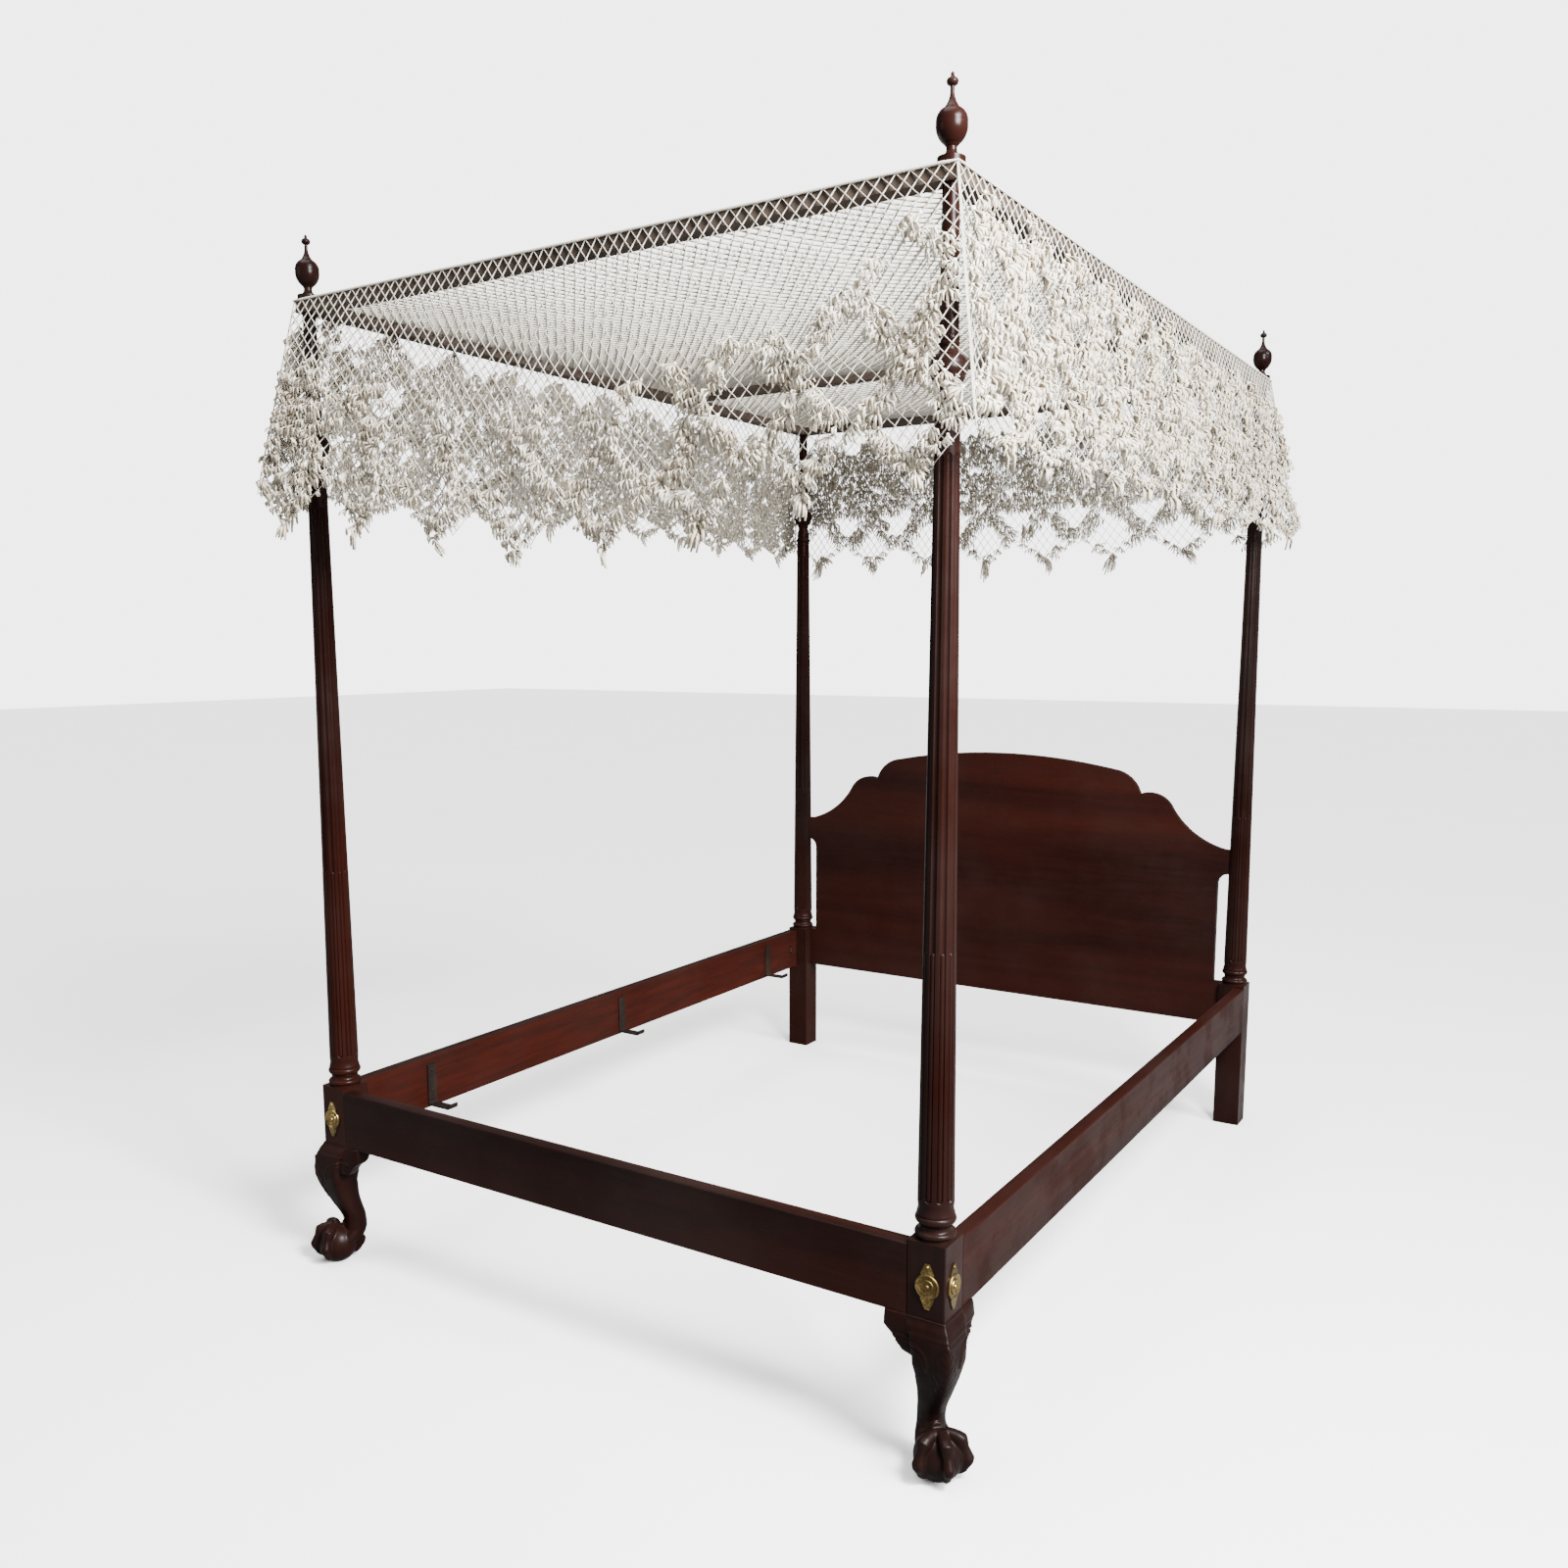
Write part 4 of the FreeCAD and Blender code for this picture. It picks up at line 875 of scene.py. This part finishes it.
    def _merged(self, blank: BMesh) -> BMesh:
        """Wrap the overlapping blank in one smooth skin.

        Args:
            blank: the blank; it is freed.

        Returns:
            The skin.
        """
        mesh = mesh_of("blank", blank)
        holder = linked("blank", mesh)
        remesh = holder.modifiers.new("skin", "REMESH")
        remesh.mode = "VOXEL"
        remesh.voxel_size = self.skin
        rounding = holder.modifiers.new("rounding", "SMOOTH")
        rounding.factor, rounding.iterations = 0.5, self.smoothing
        bpy.context.view_layer.update()
        skin = bpy.data.meshes.new_from_object(
            holder.evaluated_get(bpy.context.evaluated_depsgraph_get()))
        bm = bmesh.new()
        bm.from_mesh(skin)
        bpy.data.objects.remove(holder)
        bpy.data.meshes.remove(mesh)
        bpy.data.meshes.remove(skin)
        return bm

    def _arris(self, height: float) -> float:
        """Find the leg's front arris.

        Args:
            height: height above the floor.

        Returns:
            The arris's distance from the post's axis, along one row axis.
        """
        share = height / BED.block_bottom
        rows = sorted(self.sections)
        for (low, a, b, _), (high, c, d, _) in zip(rows, rows[1:]):
            if low <= share <= high:
                place = (share - low) / (high - low)
                shift, half = a + (c - a) * place, b + (d - b) * place
                return BED.block * (shift / math.sqrt(2) + half)
        return BED.block / 2

    def relief(self, point: Vector) -> float:
        """Height of the carving at a point of the skin, in metres; hollows are negative.

        Args:
            point: a point in the right leg's own axes.

        Returns:
            How far the surface moves along its normal.
        """
        face = min(point.x, -point.y)
        height = point.z
        edge = self._arris(height) - face
        front = step(max(point.x, -point.y), BED.block / 2 + self.front[0],
                     BED.block / 2 + self.front[1])
        knob = -(edge ** 2 + (height - self.knob_height) ** 2) / self.knob.width ** 2
        carved = self.arris.at(edge) * step(height, 0.085, 0.12)
        carved += self.band * step(height, self.band_low - 0.003, self.band_low + 0.002) * front
        carved += self.bead.at(height - self.band_low - self.bead_lift) * front
        carved += self.knob.height * math.exp(knob)
        return carved + (self.leaf.at(edge, height) + self.scroll.at(face, height)) * front

    def build(self) -> None:
        """Build the leg, carve it and hang it on its post."""
        bm = self._merged(self._blank())
        bm.normal_update()
        # Painted shade: each vertex sunk by the carving gets a darkening value in the mesh's attribute, kept to
        # the carved knee, standing in for the shade in the hollows.
        painted_shade = bm.verts.layers.float.new("painted_shade")
        moves = [(vert, self.relief(vert.co), vert.normal.copy()) for vert in bm.verts]
        for vert, height, normal in moves:
            vert.co += normal * height
            carving = step(vert.co.z, 0.135, 0.16)
            carving *= step(max(vert.co.x, -vert.co.y), 0.036, 0.042)
            vert[painted_shade] = step(self.shaded - height, 0.0, 0.0019) * self.shading * carving
        trimmed(bm, BED.block_bottom, True)
        trimmed(bm, 0.0, False)
        matrix = Matrix.Translation((self._mirror() * BED.half_x, -BED.half_y, 0))
        bmesh.ops.transform(bm, matrix=matrix @ Matrix.Diagonal((self._mirror(), 1, 1, 1)),
                            verts=bm.verts)
        bmesh.ops.recalc_face_normals(bm, faces=bm.faces)
        made = piece("carved_leg_" + self.side, bm, self.finish, "root")
        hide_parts("foot_leg_" + self.side, "knee_block_foot_" + self.side,
                    "knee_block_side_" + self.side)


@dataclass(frozen=True)
class Cell:
    """One diamond of the net, and its strand, in metres."""

    width: float
    height: float
    strand: float
    knot: float

    def cover(self) -> float:
        """Share of the net's outline that its yarn covers when the yarn is opened flat."""
        side = math.hypot(self.width / 2, self.height / 2)
        return 4 * self.strand * side / (self.width * self.height / 2)


def diamond_grid(across: int, down: int) -> BMesh:
    """A flat lattice of unit diamonds.

    Args:
        across: diamonds across its width, which is centred on x = 0.
        down: diamonds down its height, which runs from y = 0 to y = down.

    Returns:
        The lattice, trimmed straight at its sides and its two ends.
    """
    bm = bmesh.new()
    count = across + down + 2
    bmesh.ops.create_grid(bm, x_segments=count, y_segments=count, size=count / 2)
    bmesh.ops.rotate(bm, verts=bm.verts, cent=(0, 0, 0),
                     matrix=Matrix.Rotation(math.pi / 4, 3, "Z"))
    bmesh.ops.scale(bm, verts=bm.verts, vec=(math.sqrt(0.5), math.sqrt(0.5), 1))
    odd_x, odd_y = (0.5 if (count + cells) % 2 else 0.0 for cells in (across, down))
    bmesh.ops.translate(bm, verts=bm.verts, vec=(odd_x, down / 2 + odd_y, 0))
    far = [vert for vert in bm.verts if abs(vert.co.x) > across / 2 + 1.01
           or not -1.01 < vert.co.y < down + 1.01]
    bmesh.ops.delete(bm, geom=far, context="VERTS")
    for point, normal in (((across / 2, 0, 0), (1, 0, 0)), ((-across / 2, 0, 0), (-1, 0, 0)),
                          ((0, 0, 0), (0, -1, 0)), ((0, down, 0), (0, 1, 0))):
        bmesh.ops.bisect_plane(bm, geom=bm.verts[:] + bm.edges[:] + bm.faces[:], dist=1e-4,
                               plane_co=point, plane_no=normal, clear_outer=True)
    return bm


def knotted(bm: BMesh, cell: Cell) -> None:
    """Turn a shaped lattice into strands with a knot at each crossing.

    Args:
        bm: the lattice, shaped in row coordinates.
        cell: the strand's and the knot's size.
    """
    bmesh.ops.recalc_face_normals(bm, faces=bm.faces)
    bmesh.ops.wireframe(bm, faces=bm.faces, thickness=cell.strand, offset=0.0, use_replace=True,
                        use_boundary=True, use_even_offset=False)
    bm.normal_update()
    for vert in bm.verts:
        if len(vert.link_edges) >= 7:
            vert.co += vert.normal * cell.knot


@dataclass(frozen=True)
class Tassel:
    """A tuft of cotton yarn: a knot with its ends fanned out below it."""

    length: float
    knot: float
    spread: float
    depth: float
    yarn: float
    ends: int
    # Rings of each end: share of its length, share of its stand-off, bow, width, and painted shade, darkest at
    # the knot where shade falls among the ends.
    shape: tuple[tuple[float, float, float, float, float], ...] = (
        (0.02, 0.10, 0.0, 0.8, 0.8), (0.55, 0.88, 1.0, 1.25, 0.15), (1.0, 0.98, 0.0, 0.85, 0.05))

    def build(self, seed: int) -> Mesh:
        """Build one variant, its knot at the origin, its fan along X and its outer side at -Y.

        Args:
            seed: which variant.

        Returns:
            The variant's mesh.
        """
        rng = np.random.default_rng(seed)
        bm = bmesh.new()
        painted_shade = bm.verts.layers.float.new("painted_shade")
        bmesh.ops.create_uvsphere(bm, u_segments=4, v_segments=3, radius=self.knot)
        for index in range(self.ends):
            turn = 2 * (index + 0.5 + rng.uniform(-0.35, 0.35)) / self.ends - 1
            front = index % 2
            out = self.depth * (rng.uniform(0.6, 1.1) if front else rng.uniform(0.0, 0.4))
            long = self.length * rng.uniform(0.85, 1.12) * (1 - 0.3 * turn * turn)
            long *= 0.8 if front else 1.0
            self._end(bm, painted_shade, Vector((self.spread * turn, -out, 0)), long,
                      rng.uniform(0.0, 0.3))
        return mesh_of(f"tassel_{seed}", bm)

    def _end(self, bm: BMesh, painted_shade: BMLayerItem, away: Vector,
             long: float, shade: float) -> None:
        """Add one end of yarn, which bows outward on its way down.

        Args:
            bm: the mesh that gains it.
            painted_shade: the layer that darkens its root.
            away: how far its tip stands off.
            long: how far its tip hangs down.
            shade: how much darker it is than the palest yarn.
        """
        loops = []
        for share, out, bow, width, dark in self.shape:
            made = bmesh.ops.create_circle(bm, segments=3, radius=self.yarn * width)["verts"]
            hang = Vector((0, self.depth * 0.4 * bow, long * share))
            bmesh.ops.translate(bm, verts=made, vec=away * out - hang)
            for vert in made:
                # Painted shade of this ring, plus the end's own random darker tone.
                vert[painted_shade] = min(1.0, dark + shade)
            loops.append(around(made))
        bridged(bm, loops)


def scattered(prototypes: Sequence[Mesh],
              places: Iterable[tuple[Matrix, int]]) -> BMesh:
    """Copies of small meshes, each at its place.

    Args:
        prototypes: the meshes to copy.
        places: the matrix of each copy and which mesh it copies.

    Returns:
        All the copies in one bmesh.
    """
    bm = bmesh.new()
    for matrix, index in places:
        mesh = prototypes[index % len(prototypes)]
        mesh.transform(matrix)
        bm.from_mesh(mesh)
        mesh.transform(matrix.inverted())
    return bm


@dataclass
class Valance:
    """One hanging side of the canopy: a net with rows of tufts and a zigzag hem."""

    side: str
    half: float
    offset: float
    turn: float
    teeth: int
    tooth: float
    droop: float
    seed: int
    starts: tuple[tuple[float, float], ...]
    cell: Cell
    tuft: Tassel
    peaks: float = 0.05
    band: float = 0.14
    slope: float = 0.8
    filled: float = 0.95
    sparse: float = 0.0
    crowd: float = 0.0
    closed: float = 0.0
    cross: float = 1.0
    border: float = 0.022
    spare: float = 0.005
    fold: float = 0.0097
    pulls: tuple[tuple[float, float, int, float], ...] = ((14, 9, 0, 0.002), (3, 5, 7, 0.012))
    ripple: tuple[float, float, float] = (40, 6, 0.004)
    kinds: int = 5
    side_end: float = 0.995
    hem_gap: float = 0.020
    upper: float = 0.55
    hem_inset: float = 0.007
    hem_size: tuple[float, float] = (0.45, 0.75)
    point_inset: float = 0.004
    proud: tuple[float, float] = (0.001, 0.005)
    sway: float = 0.3
    lean: tuple[float, float] = (-0.1, 0.35)
    spin: float = 0.45
    growth: tuple[float, float] = (0.75, 1.25)

    def depth(self) -> float:
        """How far down the frame's sheet was lofted before its hem was trimmed."""
        return BED.drop + self.tooth + abs(self.droop) + self.spare

    def line(self, share: float) -> float:
        """Drop of the hem's notches at a share of the width, from -1 to 1."""
        return BED.drop + self.droop * (1 - share * share) ** 3

    def notch(self, share: float) -> float:
        """How near a share of the width is to a notch: 0 at a tooth's point, 1 in the notch."""
        return abs(2 * ((self.teeth * (share + 1) / 2) % 1.0) - 1)

    def hem(self, share: float) -> float:
        """Drop of the hem at a share of the width."""
        return self.line(share) + self.tooth * (1 - self.notch(share))

    def turned(self, local: Vector) -> Vector:
        """Turn a vector from the foot's side to this one."""
        return Matrix.Rotation(math.radians(self.turn), 3, "Z") @ local

    def at(self, share: float, drop: float, out: float = 0.0) -> Vector:
        """Point of the hanging cloth.

        Args:
            share: place across the width, from -1 to 1.
            drop: distance below the laths' top.
            out: distance outward from the cloth.

        Returns:
            The point in row coordinates.
        """
        flare = BED.flare * drop / BED.drop
        bow = (BED.flare - BED.middle_flare) * drop / BED.drop * (1 - share * share)
        fold = self.fold * drop / self.depth() * math.sin(math.pi * self.teeth * (share + 1))
        away = -self.offset - BED.net / 2 - flare + bow + fold - out
        return self.turned(Vector((share * (self.half + flare), away, BED.lath_top - drop)))

    def outward(self) -> Vector:
        """Direction from the bed through the cloth."""
        return self.turned(Vector((0, -1, 0)))

    def flat(self) -> tuple[float, float]:
        """Width and depth of the net that the valance was cut from."""
        return 2 * self.half + BED.flare, BED.drop + self.tooth + max(self.droop, 0)

    def area(self) -> float:
        """Work out the flat area of the yarn.

        Returns:
            The area inside the valance's outline, less the gaps between the strands.
        """
        shares = [index / 200 for index in range(-200, 201)]
        mean = sum(self.hem(share) for share in shares) / len(shares)
        return self.flat()[0] * mean * self.cell.cover()

    def lattice(self) -> tuple[int, int]:
        """Numbers of diamonds across and down."""
        deepest = (BED.drop + max(self.droop, 0)) * (1 + self.tooth / BED.drop)
        return round(2 * self.half / self.cell.width), math.ceil(deepest / self.cell.height)

    def net(self) -> BMesh:
        """Knot the net.

        Returns:
            The net, hung and trimmed along its zigzag hem.
        """
        across, down = self.lattice()
        bm = diamond_grid(across, down)
        low = []
        for face in bm.faces:
            share, drop = self.cloth(face.calc_center_median(), across)
            if drop > self.hem(share):
                low.append(face)
        bmesh.ops.delete(bm, geom=low, context="FACES")
        for vert in bm.verts:
            share, drop = self.cloth(vert.co, across)
            pull = sum(size * noise.noise(Vector((share * self.half * wide, drop * deep,
                                                  self.seed + more)))
                       for wide, deep, more, size in self.pulls)
            wide, deep, size = self.ripple
            out = size * drop / BED.drop * noise.noise(Vector((share * wide, drop * deep, 3)))
            vert.co = self.at(max(-1, min(1, share + pull * (1 - share ** 8))), drop, out)
        knotted(bm, self.cell)
        return bm

    def cloth(self, point: Vector, across: int) -> tuple[float, float]:
        """Place a point of the flat lattice, whose rows sag with the hem.

        Args:
            point: the point, in diamonds across and down.
            across: how many diamonds the width has.

        Returns:
            Its share of the width, from -1 to 1, and its drop in metres.
        """
        share = point.x / (across / 2)
        drop = point.y * self.cell.height * self.line(share)
        return share, drop / (BED.drop + max(self.droop, 0))

    def top(self, share: float) -> float:
        """Drop at which the tufts begin: a zigzag whose peaks stand over the hem's points."""
        return float(np.interp(share, *zip(*self.starts))) + self.peaks * self.notch(share)

    def chance(self, share: float, drop: float) -> float:
        """Chance that a knot carries a tuft.

        Args:
            share: place across the width, from -1 to 1.
            drop: distance below the laths' top.

        Returns:
            A chance from 0 to 1: high on two families of crossing bands and along the hem.
        """
        if drop < self.top(share):
            return 0.0
        pitch = 2 * self.half / self.teeth
        line = self.line(share)
        if drop < self.closed * line:
            return 0.9
        across, down = (share + 1) * self.half, (drop - line) * self.slope
        chance = self.sparse + self.crowd * max(0.0, -share - 0.25)
        if self.hem(share) - drop < self.border:
            chance = self.filled
        crossing = float(np.interp(share, (-0.6, 0.3), (self.cross, 1.0)))
        for sign, weight in ((-1, 1.0), (1, crossing)):
            phase = ((across + sign * down) / pitch) % 1.0
            if min(phase, 1 - phase) < self.band:
                chance = max(chance, self.filled * weight)
        return chance

    def tufts(self) -> list[BMesh]:
        """Tie the tufts on the net's knots and along the hem, with longer ones at its points.

        Returns:
            The upper tufts, the lower tufts and the hem's.
        """
        rng = np.random.default_rng(self.seed)
        across, down = self.lattice()
        kinds = [self.tuft.build(self.seed * 10 + k) for k in range(self.kinds)]
        cropped = replace(self.tuft, length=self.tuft.length * 0.72)
        short = [cropped.build(self.seed * 10 + 5 + k) for k in range(3)]
        longer = replace(self.tuft, length=self.tuft.length * 1.75, spread=self.tuft.spread * 0.6)
        groups: list[list[tuple[Matrix, int]]] = [[], [], []]
        for row in range(2 * down + 1):
            for column in range(across + 1):
                x = column - across / 2 + (0.5 if row % 2 else 0.0)
                share, drop = self.cloth(Vector((x, row / 2, 0)), across)
                if abs(share) > self.side_end or drop > self.hem(share) - self.hem_gap:
                    continue
                if rng.random() < self.chance(share, drop):
                    low = drop > self.upper * self.hem(share)
                    groups[low].append((self._place(share, drop, rng),
                                        int(rng.integers(0, self.kinds))))
        count = self.teeth * 2 * round(self.half / self.teeth / self.tuft.spread)
        for index in range(1, count):
            share = 2 * index / count - 1
            size = self.hem_size[0] + self.hem_size[1] * (1 - self.notch(share))
            groups[2].append((self._place(share, self.hem(share) - self.hem_inset, rng, size),
                              int(rng.integers(0, len(short)))))
        for tooth in range(self.teeth):
            share = -1 + (2 * tooth + 1) / self.teeth
            groups[2].append((self._place(share, self.hem(share) - self.point_inset, rng),
                              len(short)))
        log.info("%s valance: %d tufts", self.side, sum(len(group) for group in groups))
        prototypes = (kinds, kinds, short + [longer.build(self.seed * 10 + 9)])
        return [scattered(some, group) for some, group in zip(prototypes, groups)]

    def _place(self, share: float, drop: float, rng: np.random.Generator,
               size: float = 1.0) -> Matrix:
        """Hang one tuft with a small lean outward.

        Args:
            share: place across the width, from -1 to 1.
            drop: distance below the laths' top.
            rng: the valance's own random numbers.
            size: how large it is, before chance changes it a little.

        Returns:
            The matrix from the tuft's own axes to row coordinates.
        """
        point = self.at(share, drop, rng.uniform(*self.proud))
        sway = Matrix.Rotation(rng.normal(0, self.sway), 4, self.outward())
        tilt = Matrix.Rotation(-rng.uniform(*self.lean), 4,
                               Vector((0, 0, 1)).cross(self.outward()))
        spin = Matrix.Rotation(math.radians(self.turn) + rng.normal(0, self.spin), 4, "Z")
        grown = Matrix.Scale(size * rng.uniform(*self.growth), 4)
        return Matrix.Translation(point) @ sway @ tilt @ spin @ grown


@dataclass(frozen=True)
class Canopy:
    """The net roof and its four valances."""

    finishes: Finishes
    roof: Cell = Cell(0.027, 0.031, 0.0030, 0.0012)
    wide: Cell = Cell(0.027, 0.035, 0.0021, 0.0008)
    low: Cell = Cell(0.030, 0.026, 0.0018, 0.0008)
    pom: Tassel = Tassel(0.029, 0.0050, 0.0180, 0.013, 0.0025, 7)
    fan: Tassel = Tassel(0.028, 0.0040, 0.022, 0.009, 0.0021, 8)
    open_fan: Tassel = Tassel(0.034, 0.0040, 0.027, 0.009, 0.0021, 9)
    sags: tuple[float, float] = (0.070, 0.035)
    sag_power: float = 0.8

    def valances(self) -> list[Valance]:
        """Lay out the four sides.

        Returns:
            The foot's, right, head's and left valance.
        """
        gap = BED.lath_over + BED.net_gap
        x, y = BED.half_x + gap, BED.half_y + gap
        return [
            Valance("foot", x, y, 0, 8, 0.076, 0.092, 11,
                    ((-1, 0.08), (-0.85, 0.12), (-0.6, 0.19), (-0.3, 0.25), (0, 0.25), (0.3, 0.20),
                     (0.6, 0.15), (0.85, 0.07), (1, 0.02)), self.wide, self.fan, 0.07,
                    crowd=0.9, cross=0.15, border=0.045),
            Valance("right", y, x, 90, 11, 0.030, -0.020, 12, ((-1, 0.0), (0, 0.03), (1, 0.05)),
                    self.low, self.pom, 0.06, band=0.17, filled=0.82, sparse=0.05),
            Valance("head", x, y, 180, 8, 0.062, 0.014, 13, ((-1, 0.04), (1, 0.04)),
                    self.wide, self.open_fan, closed=0.72, band=0.13),
            Valance("left", y, x, 270, 11, 0.030, -0.020, 14, ((-1, 0.05), (0, 0.03), (1, 0.0)),
                    self.low, self.pom, 0.06, band=0.25, filled=0.9, sparse=0.6)]

    def build(self) -> None:
        """Build the roof, the valances and their tufts."""
        for valance in self.valances():
            self._hang(valance)
        self._roof()

    def _hang(self, valance: Valance) -> None:
        """Build one side.

        Args:
            valance: the side.
        """
        net = piece("valance_net_" + valance.side, valance.net(), self.finishes.net, "tester")
        parts = zip(("upper_tufts", "lower_tufts", "hem_tufts"), valance.tufts())
        tufts = [piece(f"valance_{part}_{valance.side}", bm, self.finishes.tufts, "tester") for part, bm in parts]
        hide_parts("canopy_valance_" + valance.side)
        valance.area()

    def _roof(self) -> None:
        """Build the sagging net roof."""
        cell = self.roof
        edge = BED.lath_over + BED.net_gap + BED.net
        half_x, half_y = BED.half_x + edge, BED.half_y + edge
        across, down = round(2 * half_x / cell.width), round(2 * half_y / cell.height)
        bm = diamond_grid(across, down)
        for vert in bm.verts:
            x, y = vert.co.x / across * 2 * half_x, (vert.co.y / down * 2 - 1) * half_y
            vert.co = (x, y, BED.lath_top + BED.net / 2 - self._sag(x, y))
        knotted(bm, cell)
        roof = piece("roof_net", bm, self.finishes.net, "tester")
        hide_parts("canopy_roof")
        4 * half_x * half_y * cell.cover()

    def _sag(self, x: float, y: float) -> float:
        """Work out how far the roof hangs at a point.

        Args:
            x: the point's place across the bed.
            y: its place along the bed.

        Returns:
            Its depth below the laths' top.
        """
        lath = BED.lath_width / 2
        inner = BED.half_x - lath
        across = max(0.0, 1 - (x / inner) ** 2)
        total = 0.0
        for low, high, sag in ((-BED.half_y + lath, BED.cross_y - lath, self.sags[0]),
                               (BED.cross_y + lath, BED.half_y - lath, self.sags[1])):
            if low < y < high:
                place = (2 * y - low - high) / (high - low)
                total = sag * (1 - place ** 2) ** self.sag_power * across ** self.sag_power
        return total


class LampKind(Enum):
    """Whether a light is far away or a square panel."""

    FAR = "SUN"
    PANEL = "AREA"


@dataclass(frozen=True)
class Lamp:
    """One soft light: a panel's spread is its side in metres, a far light's its angle."""

    name: str
    kind: LampKind
    place: tuple[float, float, float]
    aim: tuple[float, float, float]
    energy: float
    spread: float

    def hang(self) -> None:
        """Hang the light where it faces its aim."""
        data = bpy.data.lights.new(self.name, self.kind.value)
        data.energy = self.energy
        if self.kind is LampKind.FAR:
            data.angle = math.radians(self.spread)
        else:
            data.shape, data.size = "SQUARE", self.spread
        light = linked(self.name, data)
        light.location = self.place
        facing = Vector(self.aim) - Vector(self.place)
        light.rotation_euler = facing.to_track_quat("-Z", "Y").to_euler()


@dataclass(frozen=True)
class Studio:
    """Camera, floor, and four lights: right, overhead, by the near corner and a weak front one."""

    focal_px: float = 1365.47
    frame_px: float = 1600.0
    centre_px: tuple[float, float] = (788.221, 842.421)
    place: tuple[float, float, float] = (1.7480, -3.0955, 1.4773)
    yaw: float = math.radians(32.662)
    pitch: float = math.radians(7.767)
    roll: float = math.radians(-0.137)
    sensor: float = 36.0
    clip: float = 60.0
    floor_half: float = 30.0
    backdrop: float = 4.5
    fill: float = 0.30
    fill_colour: Colour = (1, 0.98, 0.95, 1)
    lamps: tuple[Lamp, ...] = (
        Lamp("right", LampKind.FAR, (5.0, -0.7, 4.0), (0, 0, 0.8), 8.0, 30),
        Lamp("overhead", LampKind.FAR, (-0.8, -0.6, 6.0), (0, 0, 0), 4.5, 50),
        Lamp("near_corner", LampKind.PANEL, (2.5, -1.7, 2.9), (0.9, -0.7, 2.1), 540, 0.9),
        Lamp("front", LampKind.PANEL, (-3.4, -4.6, 2.6), (0, -0.4, 0.9), 45, 2.6))

    def camera(self) -> None:
        """Set the camera at the photograph's viewpoint."""
        data = bpy.data.cameras.new("view")
        data.sensor_width = self.sensor
        data.lens = self.focal_px * data.sensor_width / self.frame_px
        data.shift_x = 0.5 - self.centre_px[0] / self.frame_px
        data.shift_y = self.centre_px[1] / self.frame_px - 0.5
        data.clip_end = self.clip
        camera = linked("view", data)
        ahead = Vector((-math.sin(self.yaw) * math.cos(self.pitch),
                        math.cos(self.yaw) * math.cos(self.pitch), -math.sin(self.pitch)))
        right = Vector((math.cos(self.yaw), math.sin(self.yaw), 0.0))
        up = right.cross(ahead)
        tilted = right * math.cos(self.roll) + up * math.sin(self.roll)
        raised = tilted.cross(ahead)
        turned = Matrix((tilted, raised, -ahead)).transposed().to_4x4()
        camera.matrix_world = Matrix.Translation(self.place) @ turned
        bpy.context.scene.camera = camera

    def lights(self) -> None:
        """Hang the lights and set the surround, which the camera sees brighter than it lights."""
        for lamp in self.lamps:
            lamp.hang()
        world = bpy.data.worlds.new("surround")
        world.use_nodes = True
        graph = Graph(world.node_tree)
        world.node_tree.nodes.clear()
        seen = graph.add("ShaderNodeBackground", {"Color": (1, 1, 1, 1),
                                                  "Strength": self.backdrop})
        lit = graph.add("ShaderNodeBackground", {"Color": self.fill_colour,
                                                 "Strength": self.fill})
        path = graph.add("ShaderNodeLightPath")
        mixed = graph.add("ShaderNodeMixShader", {0: path.outputs["Is Camera Ray"],
                                                  1: lit.outputs[0], 2: seen.outputs[0]})
        graph.add("ShaderNodeOutputWorld", {"Surface": mixed.outputs[0]})
        bpy.context.scene.world = world

    def floor(self) -> None:
        """Lay the floor."""
        bm = bmesh.new()
        bmesh.ops.create_grid(bm, x_segments=1, y_segments=1, size=self.floor_half)
        mesh = mesh_of("floor", bm)
        mesh.materials.append(FloorFinish().build())
        made = linked("floor", mesh)

    def build(self) -> None:
        """Set up the studio."""
        self.camera()
        self.lights()
        self.floor()


def main() -> None:
    """Build the looks of the bed in order."""
    logging.basicConfig(level=logging.INFO, format="%(relativeCreated)6d %(message)s")
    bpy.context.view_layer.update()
    finishes = Finishes()
    Studio().build()
    Joinery(finishes).build()
    for side in ("left", "right"):
        CabrioleLeg(side, finishes.carved).build()
    Canopy(finishes).build()


if __name__ == "__main__":
    main()
